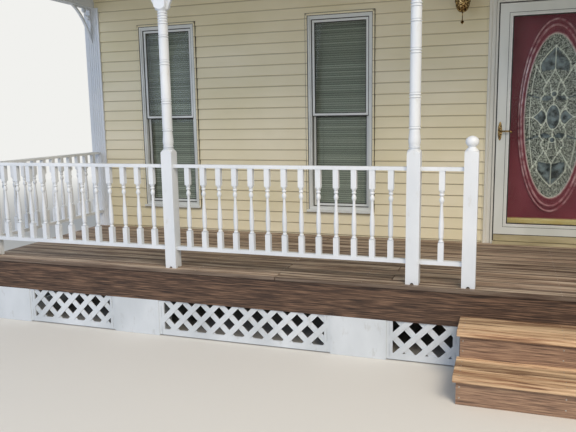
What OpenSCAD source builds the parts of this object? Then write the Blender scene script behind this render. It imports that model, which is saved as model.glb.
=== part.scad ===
// Front porch with turned posts, spindle railings, a lattice skirt and the house front behind it.
// The origin is on the ground, below the middle of the doorway and the middle of the wall's thickness.
// The front of the porch looks along -Y, and the house is on the +Y side.

/* [Porch] */
// Distance from the house front to the front face of the posts
porch_d = 1624; // [1400:10:2200]
// Half of the distance between the centres of the two corner posts
corner_post_x = 4535; // [4300:5:4900]
// Distance of the middle posts' centres from the centreline
middle_post_x = 2799; // [2500:1:3000]
// Distance of the posts beside the steps from the centreline
step_post_x = 947; // [900:1:1050]
// Distance of the newels' centres from the centreline
newel_x = 577; // [540:1:620]

/* [Steps] */
// Height of one step
riser_h = 182; // [165:1:195]
// Depth of a step from nosing to nosing
tread_run = 287; // [260:1:320]
// Length of the treads
step_w = 1240; // [1180:10:1300]
// Thickness of the tread boards
tread_t = 38; // [30:1:45]
// How far a tread stands out over its riser
nosing = 30; // [20:1:40]

/* [Deck] */
// Thickness of the floor boards
floor_t = 25; // [20:1:38]
// How far the floor runs past the posts
floor_over = 50; // [30:1:80]
// Height of the joists and of the board around them
rim_h = 235; // [184:1:286]
// Thickness of the joists and of the board around them
rim_t = 38; // [30:1:45]
// Number of joists between the two end boards
joist_count = 13; // [10:1:22]
// Width of a pier under the deck
pier_w = 406; // [300:2:450]
// Depth of a pier under the deck
pier_d = 203; // [190:1:300]
// Distance of the first pair of piers from the centreline
pier_near_x = 1318; // [1200:10:1500]
// Distance of the second pair of piers from the centreline
pier_far_x = 3116; // [2900:10:3300]

/* [Lattice] */
// Width of a lattice strip
strip_w = 42; // [30:1:50]
// Thickness of a lattice strip
strip_t = 8; // [6:1:10]
// Distance between the middles of two holes in one row
lattice_pitch = 156; // [120:2:200]
// Width of the boards that frame a lattice panel
lattice_frame_w = 44; // [30:1:60]

/* [Posts] */
// Side of a post
post_w = 89; // [80:1:110]
// Height of the roof posts
post_h = 2290; // [2200:10:2400]
// Height of the square block at a post's foot
foot_block_h = 915; // [880:5:940]
// Height of the square block at a post's head
head_block_h = 355; // [330:5:400]
// Radius of the turned shaft at its lower end
shaft_r = 38; // [30:1:42]
// Radius of the turned shaft at its upper end
shaft_top_r = 36; // [28:1:40]
// Height of one turned ring on a post
ring_h = 19; // [14:1:22]
// Height of a newel up to its shoulder
newel_h = 912; // [860:2:960]
// Diameter of the newel's ball
ball_d = 86; // [60:1:92]

/* [Railings] */
// Height of the railing over the floor
rail_h = 803; // [780:1:900]
// Width of the top and bottom rails
rail_w = 44; // [42:1:86]
// Thickness of the top rail
top_rail_t = 25; // [22:1:38]
// Thickness of the bottom rail
bottom_rail_t = 27; // [22:1:38]
// Height of the bottom rail's underside over the floor
bottom_rail_z = 142; // [80:1:170]
// Side of a spindle's square ends
spindle_w = 38; // [32:1:42]
// Usual clear gap between spindles
spindle_gap = 95; // [80:1:100]

/* [House front] */
// Thickness of the house wall
wall_t = 140; // [120:1:200]
// How far the house front and the floor run past the corner posts
wall_past = 6; // [0:1:60]
// How far the wall is kept over the top of the porch roof
wall_over_roof = 130; // [60:10:400]
// Width of the fluted trim at the house corners
corner_trim_w = 145; // [120:1:220]
// Distance of the inner windows' centres from the centreline
inner_window_x = 1860; // [1700:10:2000]
// Distance of the outer windows' centres from the centreline
outer_window_x = 3660; // [3500:10:3800]
// Width of a window over its outer frame
window_w = 650; // [560:5:760]
// Height of a window over its outer frame
window_h = 1854; // [1400:2:1900]
// Height of the windows' and the doorway's heads over the floor
head_z = 2083; // [2000:1:2150]

/* [Doorway] */
// Width of the two door leaves
leaf_w = 914; // [813:1:1000]
// Gap around a door leaf
leaf_gap = 5; // [5:0.5:8]
// Thickness of the storm door
storm_t = 32; // [28:1:40]
// Width of the frame around the storm door's glass
storm_frame_w = 103; // [80:1:130]
// Height of the storm door's bottom rail with its sweep
storm_bottom_h = 152; // [120:1:200]
// Height of the sweep along the storm door's bottom edge
sweep_h = 55; // [30:1:70]
// Thickness of the entry door
entry_t = 44; // [38:1:48]
// Width of the oval glass in the entry door
oval_glass_w = 470; // [400:2:490]
// Height of the oval glass in the entry door
oval_glass_h = 1410; // [1200:5:1460]
// Width of the oval moulding around that glass
oval_w = 572; // [510:2:600]
// Height of the oval moulding around that glass
oval_h = 1660; // [1500:5:1700]
// Width of the casing beside the door
casing_w = 71; // [50:1:90]
// Height of the oval's middle over the floor
oval_up = 1104; // [1040:1:1150]
// Height of the storm door's lever over the floor
handle_up = 991; // [950:1:1050]
// Height of the entry door's knobs over the floor
knob_up = 890; // [850:5:950]
// Distance of the lanterns from the middle of the doorway
lantern_x = 760; // [700:1:900]
// How far the lanterns' lower tips hang below the ceiling
lantern_drop = 550; // [500:5:900]

/* [Roof] */
// Height of the beams on the posts
beam_h = 190; // [150:1:240]
// Height of the ceiling over the beams' underside
ceiling_rise = 150; // [100:5:170]
// Slope of the roof in degrees
roof_slope = 14; // [10:1:18]
// Thickness of the roof, measured straight up
roof_t = 90; // [70:5:140]
// How far the roof runs past the front beam
eave = 300; // [200:10:400]
// How far the roof runs past the side beams
verge = 150; // [100:10:250]
// Thickness of the white boards at the roof's edges
fascia_t = 20; // [18:1:30]
// Reach of a post bracket along the beam
bracket_reach = 300; // [240:5:330]

/* [Hidden] */
$fn = 48;

// Paint and wood colours
white = "#e9ecef";
cream = "#e6dcae";
deck_brown = "#6b4636";
dark_brown = "#4a2f25";
masonry = "#b9b3a6";
brass = "#b08a3c";
burgundy = "#8a2a3a";
pane = "#aeb9b4";
shingle = "#5c5a57";

// Heights
deck_h = 3 * riser_h;
rim_z = deck_h - floor_t - rim_h;
beam_z = deck_h + post_h;
beam_top_z = beam_z + beam_h;
ceiling_z = beam_z + ceiling_rise;
ceiling_t = 12;
soffit_t = 12;
head_top_z = deck_h + head_z;

// Planes that face the street, front ones first
wall_y = -wall_t / 2;
post_front_y = wall_y - porch_d;
post_y = post_front_y + post_w / 2;
post_back_y = post_front_y + post_w;
floor_y = post_front_y - floor_over;
floor_lip = 25;
rim_y = floor_y + floor_lip;

// Widths
corner_out_x = corner_post_x + post_w / 2;
wall_half_w = corner_out_x + wall_past;
rim_half_w = wall_half_w - floor_lip;
pier_corner_x = rim_half_w - pier_w / 2;

// Roof planes
roof_fall = tan(roof_slope);
function roof_z(y) = beam_top_z + (y - post_front_y) * roof_fall;
eave_y = post_front_y - eave;
roof_half_w = corner_out_x + verge;
wall_top_z = roof_z(wall_y) + roof_t + wall_over_roof;

// Doorway
jamb_t = 25;
clear_half_w = leaf_w / 2 + leaf_gap;
rough_half_w = clear_half_w + jamb_t;
clear_top_z = head_top_z - jamb_t;
sill_t = 24;
sill_out = 62;
sill_z = deck_h + sill_t;
casing_t = 28;
storm_bar_w = 22;
reveal = 3;
casing_out_w = storm_bar_w + casing_w;
casing_out_x = clear_half_w + casing_out_w;
trim_edge_w = 9;
trim_edge_t = 14;
stop_w = 12;
stop_t = 8;
storm_back_y = wall_y - 2;
storm_front_y = storm_back_y - storm_t;
storm_bar_t = wall_y - storm_front_y;
storm_band_w = 74;
storm_step = 5;
groove_w = 3;
entry_back_y = wall_t / 2;
entry_front_y = entry_back_y - entry_t;
leaf_z = sill_z + leaf_gap;
leaf_top_z = clear_top_z - leaf_gap;
leaf_h = leaf_top_z - leaf_z;
knuckle_r = 5;
knuckle_h = 36;
pin_x = leaf_w / 2 - 5;
pin_off = 8;
storm_pin_y = storm_front_y - pin_off;
entry_pin_y = entry_back_y + pin_off;
hinge_leaf_w = 26;
hinge_leaf_t = 4;
oval_z = deck_h + oval_up;
oval_bead = 14;
handle_x = -leaf_w / 2 + 27;
handle_z = deck_h + handle_up;
knob_x = -leaf_w / 2 + 60;
knob_z = deck_h + knob_up;

// Windows
window_frame_w = 50;
window_flange = 20;
window_edge_w = 15;
window_edge_t = 22;
window_step_w = 36;
window_step_t = 16;
window_face_t = 8;
window_sill_h = 30;
window_sill_out = 40;
sash_w = window_w - 2 * window_frame_w;
sash_h = window_h - 2 * window_frame_w;
sash_stile = 28;
sash_t = 28;
sash_lap = 30;
upper_sash_y = wall_y + 4;
lower_sash_y = upper_sash_y + sash_t + 3;
blind_y = lower_sash_y + sash_t + 6;
blind_t = 18;
window_z = head_top_z - window_h;

// Lanterns beside the door
lantern_reach = 150;
lantern_tip_z = ceiling_z - lantern_drop;
lantern_ribs = 6;
lantern_rib_t = 4;
bowl_z = 96;
bowl_r = 60;
bowl_top_z = 178;
bowl_curve = [for (i = [1 : 8]) let (a = 90 * i / 8) [
    8 + (bowl_r - 8) * sin(a), bowl_z + (bowl_top_z - bowl_z) * (1 - cos(a))
]];
globe_r = 70;
globe_top_z = 372;
arm_z = 300;
arm_r = 8;
plate_t = 10;
plate_w = 96;
plate_h = 200;

// Trim and small parts
corner_trim_t = 25;
flute_r = 9;
flute_count = 5;
riser_t = 20;
stringer_t = 38;
stringer_inset = 20;
gap = 2;
fit = 0.3;
foot_notch_r = 13;
groove_d = 4;
ring_bulge = 7;
newel_shoulder_h = 12;
post_shoulder_h = 24;
neck_r = 24;
edge_r = 9;
rail_edge_r = 5;
bracket_t = 24;
bracket_drop = head_block_h;
bracket_leg = 15;
bracket_band = 20;

// Stretches of the front, from post to post, as [start, end] on the right side
end_bay = [middle_post_x + post_w / 2, corner_post_x - post_w / 2];
main_bay = [step_post_x + post_w / 2, middle_post_x - post_w / 2];
step_bay = [newel_x + post_w / 2, step_post_x - post_w / 2];
side_bay = [post_back_y, wall_y - corner_trim_t];

// A box from its low corner to its high corner
module block(low, high) {
    translate(low)
        cube(high - low);
}

// The piece and its mirror image on the other side of the centreline
module both_sides() {
    children();
    mirror([1, 0, 0])
        children();
}

// An outline drawn in Y and Z, pulled out along X
module along_x(x0, x1) {
    translate([x0, 0, 0])
        rotate([90, 0, 90])
            linear_extrude(x1 - x0)
                children();
}

// An outline drawn in X and Z, pulled out along Y
module along_y(y0, y1) {
    translate([0, y1, 0])
        rotate([90, 0, 0])
            linear_extrude(y1 - y0)
                children();
}

// Points of a rounded bead on a turned piece, from height z up to z + h
function bead(z, h, r, bulge, n = 6) =
    [for (i = [0 : n]) [r + bulge * sin(180 * i / n), z + h * i / n]];

// Points of a smooth stretch of a turned piece that goes from one radius to another
function sweep(z, h, r0, r1, n = 8) =
    [for (i = [0 : n]) [r0 + (r1 - r0) * (1 - cos(180 * i / n)) / 2, z + h * i / n]];

// Points of several beads of height h, one above the other
function rings(z, count, h, r, bulge) =
    [for (i = [0 : count - 1]) each bead(z + i * h, 0.8 * h, r, bulge)];

// Points of a curve from p to q that bends towards c
function curve(p, c, q, n = 16) =
    [for (i = [0 : n]) let (t = i / n) (1 - t) ^ 2 * p + 2 * t * (1 - t) * c + t ^ 2 * q];

// Points of an arc of radius r round c, from angle a0 to a1
function arc(c, r, a0, a1, n = 6) =
    [for (i = [0 : n]) let (a = a0 + (a1 - a0) * i / n) c + r * [cos(a), sin(a)]];

// Outline of a board whose two edges on the low side are rounded
function rounded_board(low, high, r) = concat(
    arc([low[0] + r, high[1] - r], r, 90, 180),
    arc([low[0] + r, low[1] + r], r, 180, 270),
    [[high[0], low[1]], high]
);

// Points of an ellipse
function ellipse(w, h, n = 64) =
    [for (i = [0 : n - 1]) [w / 2 * cos(360 * i / n), h / 2 * sin(360 * i / n)]];

// Square block whose top is turned down to a round shoulder
module shouldered_block(w, h, shoulder) {
    translate([-w / 2, -w / 2, 0])
        cube([w, w, h - shoulder]);
    intersection() {
        translate([-w / 2, -w / 2, h - shoulder - 1])
            cube([w, w, shoulder + 1]);
        translate([0, 0, h - shoulder - 1])
            cylinder(h = shoulder + 1, r1 = w * 0.74, r2 = w * 0.47);
    }
}

// Radius of the tapered shaft at a share of its height
function shaft_at(share) = shaft_r + (shaft_top_r - shaft_r) * share;

// Outline of a roof post's turned shaft, for a shaft of length h
function post_profile(h) = concat(
    [[0, 0]],
    bead(0, 0.008 * h, 0.42 * post_w, 0.03 * post_w),
    [[0.36 * post_w, 0.009 * h], [0.36 * post_w, 0.012 * h]],
    bead(0.013 * h, 0.0105 * h, 0.39 * post_w, 0.07 * post_w),
    sweep(0.0245 * h, 0.0325 * h, 0.41 * post_w, 0.455 * post_w),
    sweep(0.0590 * h, 0.0640 * h, 0.455 * post_w, shaft_r - 2),
    rings(0.1335 * h, 1, ring_h, shaft_r - groove_d, ring_bulge),
    [[shaft_at(0.15), 0.154 * h], [shaft_at(0.33), 0.328 * h]],
    rings(0.332 * h, 2, ring_h, shaft_at(0.35) - groove_d, ring_bulge),
    [[shaft_at(0.37), 0.371 * h], [shaft_at(0.61), 0.608 * h]],
    rings(0.612 * h, 2, ring_h, shaft_at(0.63) - groove_d, ring_bulge),
    [[shaft_at(0.65), 0.651 * h], [shaft_at(0.80), 0.803 * h]],
    rings(0.807 * h, 1, ring_h, shaft_at(0.81) - groove_d, ring_bulge),
    [[shaft_at(0.83), 0.827 * h], [shaft_at(0.90), h - 5.6 * ring_h]],
    rings(h - 5.4 * ring_h, 5, ring_h, shaft_top_r - groove_d, ring_bulge),
    [[0.45 * post_w, h], [0, h]]
);

// Roof post standing on z = 0: square foot, turned shaft, square head
module roof_post() {
    shaft_h = post_h - foot_block_h - head_block_h;
    difference() {
        shouldered_block(post_w, foot_block_h, post_shoulder_h);
        foot_notches();
    }
    translate([0, 0, foot_block_h])
        rotate_extrude()
            polygon(post_profile(shaft_h));
    translate([0, 0, post_h])
        mirror([0, 0, 1])
            shouldered_block(post_w, head_block_h, post_shoulder_h);
}

// Small drain notches in the middle of each side of a post's foot
module foot_notches() {
    for (turn = [0, 90])
        rotate([90, 0, turn])
            cylinder(h = post_w + 2, r = foot_notch_r, center = true);
}

// Short newel with a slightly flattened ball on a turned neck
module newel() {
    flare_h = 24;
    ball_r = ball_d / 2;
    ball_up = 0.88 * ball_r;
    low_angle = -acos(neck_r / ball_r);
    ball_z = flare_h + 2 - ball_up * sin(low_angle);
    difference() {
        shouldered_block(post_w, newel_h, newel_shoulder_h);
        foot_notches();
    }
    translate([0, 0, newel_h])
        rotate_extrude()
            polygon(concat(
                [[0, -1], [0.46 * post_w, -1]],
                sweep(1, flare_h - 1, 0.45 * post_w, neck_r),
                [for (i = [0 : 20]) let (a = low_angle + (90 - low_angle) * i / 20)
                    [ball_r * cos(a), ball_z + ball_up * sin(a)]]
            ));
}

// Outline of a spindle's turned middle, for a middle of length h
function spindle_profile(h) = concat(
    [[0, -1], [0.46 * spindle_w, -1]],
    bead(0, 0.045 * h, 0.32 * spindle_w, 0.14 * spindle_w, 4),
    sweep(0.05 * h, 0.05 * h, 0.28 * spindle_w, 0.42 * spindle_w, 4),
    sweep(0.11 * h, 0.16 * h, 0.42 * spindle_w, 0.46 * spindle_w, 4),
    sweep(0.28 * h, 0.46 * h, 0.46 * spindle_w, 0.25 * spindle_w, 8),
    bead(0.75 * h, 0.13 * h, 0.25 * spindle_w, 0.19 * spindle_w, 8),
    bead(0.89 * h, 0.05 * h, 0.30 * spindle_w, 0.14 * spindle_w, 4),
    [[0.46 * spindle_w, 0.98 * h], [0.46 * spindle_w, h + 1], [0, h + 1]]
);

// Spindle of length h standing on z = 0
module spindle(h) {
    foot = 0.205 * h;
    head = 0.214 * h;
    translate([-spindle_w / 2, -spindle_w / 2, -1])
        cube([spindle_w, spindle_w, foot + 1]);
    translate([0, 0, foot])
        rotate_extrude($fn = 24)
            polygon(spindle_profile(h - foot - head));
    translate([-spindle_w / 2, -spindle_w / 2, h - head])
        cube([spindle_w, spindle_w, head + 1]);
}

// Railing of length len that runs along +X from the origin, at the height of the floor
module railing(len) {
    count = max(1, round((len - spindle_gap) / (spindle_w + spindle_gap)));
    clear = (len - count * spindle_w) / (count + 1);
    bottom_top_z = bottom_rail_z + bottom_rail_t;
    top_z = rail_h - top_rail_t;
    half = rail_w / 2;
    along_x(0, len)
        polygon(concat(
            [[-half, top_z], [half, top_z]],
            arc([half - rail_edge_r, rail_h - rail_edge_r], rail_edge_r, 0, 90, 4),
            arc([rail_edge_r - half, rail_h - rail_edge_r], rail_edge_r, 90, 180, 4)
        ));
    block([0, -half, bottom_rail_z], [len, half, bottom_top_z]);
    for (i = [0 : count - 1])
        translate([clear + spindle_w / 2 + i * (clear + spindle_w), 0, bottom_top_z])
            spindle(top_z - bottom_top_z);
}

// Railing between two X positions on the line of the front posts
module front_railing(bay) {
    translate([bay[0], post_y, deck_h])
        railing(bay[1] - bay[0]);
}

// Crossed strips that fill a panel of width w and height h, and boards on three of its edges;
// shift moves the crossings away from the panel's middle
module lattice_panel(w, h, shift = [0, 0]) {
    step = lattice_pitch / sqrt(2);
    reach = (w + h) / sqrt(2);
    count = ceil(reach / step);
    for (layer = [0, 1])
        translate([0, layer * (strip_t - 1), 0])
            along_y(0, strip_t)
                intersection() {
                    square([w, h]);
                    translate([w / 2, h / 2] + shift)
                        rotate(layer == 0 ? 45 : -45)
                            for (i = [-count : count])
                                translate([(i + 0.5) * step - strip_w / 2, -reach])
                                    square([strip_w, 2 * reach]);
                }
    difference() {
        along_y(0, 2 * strip_t - 1)
            difference() {
                square([w, h]);
                translate([lattice_frame_w, lattice_frame_w])
                    square([w - 2 * lattice_frame_w, h]);
            }
        for (x = [lattice_frame_w / 2, w - lattice_frame_w / 2])
            block([x - groove_w, -1, -1], [x + groove_w, strip_t / 2, h + 1]);
    }
}

// House front

// Masonry below the wall, from the ground to the floor
module foundation_wall() {
    color(masonry)
        block([-wall_half_w, wall_y, 0], [wall_half_w, -wall_y, deck_h]);
}

// Wall beside the doorway, with its two window openings, on the right side
module side_wall() {
    difference() {
        block([rough_half_w, wall_y, deck_h], [wall_half_w, -wall_y, wall_top_z]);
        for (x = [inner_window_x, outer_window_x])
            block(
                [x - window_w / 2 + window_flange, wall_y - 1, window_z + window_flange],
                [x + window_w / 2 - window_flange, 1 - wall_y, head_top_z - window_flange]
            );
    }
}

module house_wall_left() {
    color(cream)
        mirror([1, 0, 0])
            side_wall();
}

module house_wall_right() {
    color(cream)
        side_wall();
}

module house_wall_over_door() {
    color(cream)
        block([-rough_half_w, wall_y, head_top_z], [rough_half_w, -wall_y, wall_top_z]);
}

// Fluted corner boards that wrap round the corners of the house
module corner_trim() {
    face_x = wall_half_w - corner_trim_w;
    pitch = corner_trim_w / (flute_count + 1);
    color(white)
        both_sides()
            translate([0, 0, deck_h])
                linear_extrude(beam_z - deck_h)
                    difference() {
                        union() {
                            translate([face_x, wall_y - corner_trim_t])
                                square([corner_trim_w + corner_trim_t, corner_trim_t]);
                            translate([wall_half_w, wall_y - corner_trim_t])
                                square([corner_trim_t, wall_t + corner_trim_t]);
                        }
                        for (i = [1 : flute_count])
                            translate([face_x + i * pitch, wall_y - corner_trim_t - 3])
                                circle(r = flute_r, $fn = 24);
                    }
}

// Doorway

// Outline of the storm door's bar and of the moulded casing beside it, as
// [distance from the opening, distance from the wall]
casing_outline = concat(
    [[0, 0], [0, storm_bar_t], [storm_bar_w, storm_bar_t], [storm_bar_w, casing_t / 3]],
    [[storm_bar_w + reveal, casing_t / 3]],
    arc([storm_bar_w + reveal + 4, 0.72 * casing_t - 4], 4, 180, 90, 4),
    [[0.58 * casing_out_w, 0.72 * casing_t]],
    sweep_points([0.58 * casing_out_w, 0.72 * casing_t], [0.70 * casing_out_w, casing_t]),
    [[casing_out_w - trim_edge_w, casing_t], [casing_out_w - trim_edge_w, trim_edge_t]],
    [[casing_out_w, trim_edge_t], [casing_out_w, 0]]
);

// Points of an ogee step from p to q
function sweep_points(p, q, n = 6) =
    [for (i = [1 : n]) [
        p[0] + (q[0] - p[0]) * i / n,
        p[1] + (q[1] - p[1]) * (1 - cos(180 * i / n)) / 2
    ]];

// Everything below the mitres between the casing beside the doorway and the casing over it
module below_mitres(lower) {
    reach = casing_out_w + 1;
    top_z = clear_top_z - lower;
    along_y(wall_y - storm_bar_t - 1, -wall_y + 1)
        polygon([
            [clear_half_w - stop_w - 1, deck_h - 1],
            [clear_half_w + reach, deck_h - 1],
            [clear_half_w + reach, top_z + reach],
            [clear_half_w, top_z],
            [clear_half_w - stop_w - 1, top_z],
        ]);
}

// Jambs with their stops, the storm door's bars, the casing and the jambs' half of the hinges
module door_jambs() {
    color(white) {
        at_hinges(storm_pin_y)
            jamb_hinge_half(-1, pin_off);
        at_hinges(entry_pin_y)
            jamb_hinge_half(1, pin_off);
        both_sides() {
            translate([0, 0, sill_z])
                linear_extrude(clear_top_z - sill_z) {
                    translate([clear_half_w, wall_y])
                        square([jamb_t, wall_t]);
                    translate([clear_half_w - stop_w, storm_back_y + leaf_gap + 1])
                        square([stop_w + 1, stop_t]);
                    translate([clear_half_w - stop_w, entry_front_y - leaf_gap - stop_t])
                        square([stop_w + 1, stop_t]);
                }
            intersection() {
                below_mitres(fit);
                translate([0, 0, deck_h])
                    linear_extrude(clear_top_z + casing_out_w - deck_h)
                        polygon([for (p = casing_outline) [clear_half_w + p[0], wall_y - p[1]]]);
            }
        }
    }
}

module door_head() {
    color(white) {
        block([-rough_half_w, wall_y, clear_top_z], [rough_half_w, -wall_y, head_top_z]);
        difference() {
            along_x(-casing_out_x, casing_out_x)
                polygon([for (p = casing_outline) [wall_y - p[1], clear_top_z + p[0]]]);
            both_sides()
                below_mitres(0);
        }
    }
}

module door_sill() {
    color(cream) {
        block([-rough_half_w, wall_y, deck_h], [rough_half_w, -wall_y, sill_z]);
        block([-clear_half_w, wall_y - sill_out, deck_h], [clear_half_w, wall_y, sill_z]);
    }
}

// Repeats a hinge piece at the three heights of the hinges
module at_hinges(y) {
    for (share = [0.1, 0.5, 0.9])
        translate([pin_x, y, leaf_z + share * leaf_h])
            children();
}

// The door's half of a hinge: the middle knuckle and its strap; out is -1 for a door that opens
// towards the street and 1 for one that opens into the house
module door_hinge_half(out) {
    half = knuckle_h / 2;
    translate([0, 0, -half])
        cylinder(h = knuckle_h, r = knuckle_r, $fn = 24);
    block(
        [-hinge_leaf_w, min(0, -out * pin_off), -half],
        [0, max(0, -out * pin_off), half]
    );
}

// The jamb's half: the knuckles above and below, and the strap that reaches back by depth
module jamb_hinge_half(out, depth) {
    leg_x = 14;
    for (z = [-1.5 * knuckle_h, 0.5 * knuckle_h])
        translate([0, 0, z]) {
            cylinder(h = knuckle_h, r = knuckle_r, $fn = 24);
            block(
                [0, min(0, out * hinge_leaf_t), 0],
                [leg_x + 18, max(0, out * hinge_leaf_t), knuckle_h]
            );
            block(
                [leg_x, min(0, -out * depth), 0],
                [leg_x + 18, max(0, -out * depth), knuckle_h]
            );
        }
}

// Rectangle of the storm door that lies inset from its edges, with the bottom edge at bottom
module storm_outline(inset, bottom) {
    translate([inset - leaf_w / 2, leaf_z + bottom])
        square([leaf_w - 2 * inset, leaf_h - inset - bottom]);
}

// One layer of the storm door's frame, between two insets
module storm_layer(y0, y1, outer, inner) {
    extra = storm_bottom_h - storm_frame_w;
    along_y(y0, y1)
        difference() {
            storm_outline(outer, outer == 0 ? 0 : outer + extra);
            storm_outline(inner, inner + extra);
        }
}

// Storm door: a flat outer band, a lower inner moulding round one tall pane, and a sweep
module storm_door() {
    color(white) {
        difference() {
            union() {
                storm_layer(storm_front_y, storm_back_y, 0, storm_band_w);
                storm_layer(storm_front_y + storm_step, storm_back_y, storm_band_w - 1, storm_frame_w);
                storm_layer(
                    storm_front_y + storm_step / 2, storm_back_y,
                    storm_frame_w - 3 * groove_w, storm_frame_w
                );
            }
            block(
                [-leaf_w / 2 - 1, storm_front_y - 1, leaf_z - 1],
                [leaf_w / 2 + 1, storm_front_y + storm_step, leaf_z + sweep_h]
            );
        }
        at_hinges(storm_pin_y)
            door_hinge_half(-1);
    }
}

module storm_glass() {
    f = storm_frame_w;
    mid_y = (storm_front_y + storm_back_y) / 2;
    color(pane)
        block(
            [-leaf_w / 2 + f, mid_y - 3, leaf_z + storm_bottom_h],
            [leaf_w / 2 - f, mid_y + 3, leaf_top_z - f]
        );
}

// Long oval brass plate with a lever on it, the lever's tip curled down; out is its direction
module lever_set(out, plate_w, plate_h, lever_len) {
    plate_t = 5;
    spindle_len = 34;
    grip_r = 7;
    curl_r = 16;
    rotate([out < 0 ? 90 : -90, 0, 0]) {
        linear_extrude(plate_t)
            polygon(ellipse(plate_w, plate_h, 32));
        cylinder(h = spindle_len, r = grip_r + 2);
    }
    translate([0, out * spindle_len, 0]) {
        rotate([0, 90, 0])
            cylinder(h = lever_len, r = grip_r);
        translate([lever_len, 0, -curl_r])
            rotate([90, 0, 0])
                rotate_extrude(angle = 90)
                    translate([curl_r, 0])
                        circle(r = grip_r);
        sphere(r = grip_r + 2);
    }
}

// Plate and lever on the outside of the storm door, smaller ones on the inside
module storm_handle() {
    color(brass) {
        translate([handle_x, storm_front_y, handle_z])
            lever_set(-1, 34, 160, 80);
        translate([handle_x, storm_back_y, handle_z])
            lever_set(1, 28, 100, 62);
    }
}

// Oval that lies between the edge of the glass, at share 0, and the moulding's outer edge, at 1
module oval_at(share) {
    w = oval_glass_w + share * (oval_w - oval_glass_w);
    h = oval_glass_h + share * (oval_h - oval_glass_h);
    polygon(ellipse(w, h, 96));
}

// Moulding around the oval glass, standing on z = 0: a low slope, two high beads and the
// hollow between them, as [inner share, outer share, height]
module oval_moulding() {
    for (ring = [
        [0, 0.34, 0.45 * oval_bead],
        [0.32, 0.68, oval_bead],
        [0.66, 0.78, 0.35 * oval_bead],
        [0.76, 1, 0.86 * oval_bead],
    ])
        linear_extrude(ring[2])
            difference() {
                oval_at(ring[1]);
                oval_at(ring[0]);
            }
}

// Entry door with a raised oval moulding on both faces
module entry_door() {
    color(burgundy) {
        along_y(entry_front_y, entry_back_y)
            difference() {
                translate([-leaf_w / 2, leaf_z])
                    square([leaf_w, leaf_h]);
                translate([0, oval_z])
                    oval_at(0);
            }
        for (side = [-1, 1])
            translate([0, side < 0 ? entry_front_y : entry_back_y, oval_z])
                rotate([side < 0 ? 90 : -90, 0, 0])
                    oval_moulding();
        at_hinges(entry_pin_y)
            door_hinge_half(1);
    }
}

module oval_glass() {
    mid_y = (entry_front_y + entry_back_y) / 2;
    color(pane)
        translate([0, 0, oval_z])
            along_y(mid_y - 6, mid_y + 6)
                oval_at(0);
}

// Knobs on both faces of the entry door
module entry_knob() {
    color(brass)
        for (side = [-1, 1])
            translate([knob_x, side < 0 ? entry_front_y : entry_back_y, knob_z])
                rotate([side < 0 ? 90 : -90, 0, 0])
                    rotate_extrude()
                        polygon(concat(
                            [[0, 0], [32, 0], [32, 5], [12, 9], [12, 26]],
                            bead(26, 28, 12, 14, 8),
                            [[0, 54]]
                        ));
}

// Windows

// Repeats a piece at the four windows
module at_windows() {
    for (x = [inner_window_x, outer_window_x])
        both_sides()
            translate([x, 0, 0])
                children();
}

// Rectangle of a window that lies inset from its outer edges
module window_outline(inset) {
    translate([inset - window_w / 2, window_z + inset])
        square([window_w - 2 * inset, window_h - 2 * inset]);
}

// One step of the window's frame, between two insets, from y0 to y1
module window_step(y0, y1, outer, inner) {
    along_y(y0, y1)
        difference() {
            window_outline(outer);
            window_outline(inner);
        }
}

// Stepped frame in the wall, with a raised edge over the siding and a sloping sill
module window_frames() {
    color(white)
        at_windows() {
            window_step(wall_y - window_edge_t, wall_y, 0, window_edge_w);
            window_step(wall_y - window_face_t, wall_y, window_edge_w - 1, window_frame_w);
            window_step(
                wall_y - window_step_t, wall_y,
                window_edge_w + groove_w, window_step_w
            );
            window_step(wall_y, -wall_y, window_flange, window_frame_w);
            along_x(-window_w / 2, window_w / 2)
                polygon([
                    [wall_y, window_z],
                    [wall_y - window_sill_out, window_z],
                    [wall_y - window_sill_out, window_z + window_sill_h / 2],
                    [wall_y, window_z + window_sill_h],
                ]);
        }
}

// One sash, from height z and h tall
module sash(z, h, y) {
    along_y(y, y + sash_t)
        difference() {
            translate([-sash_w / 2, z])
                square([sash_w, h]);
            translate([-sash_w / 2 + sash_stile, z + sash_stile])
                square([sash_w - 2 * sash_stile, h - 2 * sash_stile]);
        }
}

// Lower edges of the two sashes and the height of each
lower_sash_z = window_z + window_frame_w;
half_sash_h = (sash_h + sash_lap) / 2;
upper_sash_z = lower_sash_z + sash_h - half_sash_h;

module window_sashes() {
    color(white)
        at_windows() {
            sash(upper_sash_z, half_sash_h, upper_sash_y);
            sash(lower_sash_z, half_sash_h, lower_sash_y);
        }
}

module window_glass() {
    half_w = sash_w / 2 - sash_stile;
    color(pane)
        at_windows()
            for (place = [[upper_sash_z, upper_sash_y], [lower_sash_z, lower_sash_y]])
                block(
                    [-half_w, place[1] + sash_t / 2 - 2, place[0] + sash_stile],
                    [half_w, place[1] + sash_t / 2 + 2, place[0] + half_sash_h - sash_stile]
                );
}

module window_blinds() {
    color(white)
        at_windows()
            block(
                [-sash_w / 2 + 3, blind_y, lower_sash_z],
                [sash_w / 2 - 3, blind_y + blind_t, lower_sash_z + sash_h]
            );
}

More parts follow.
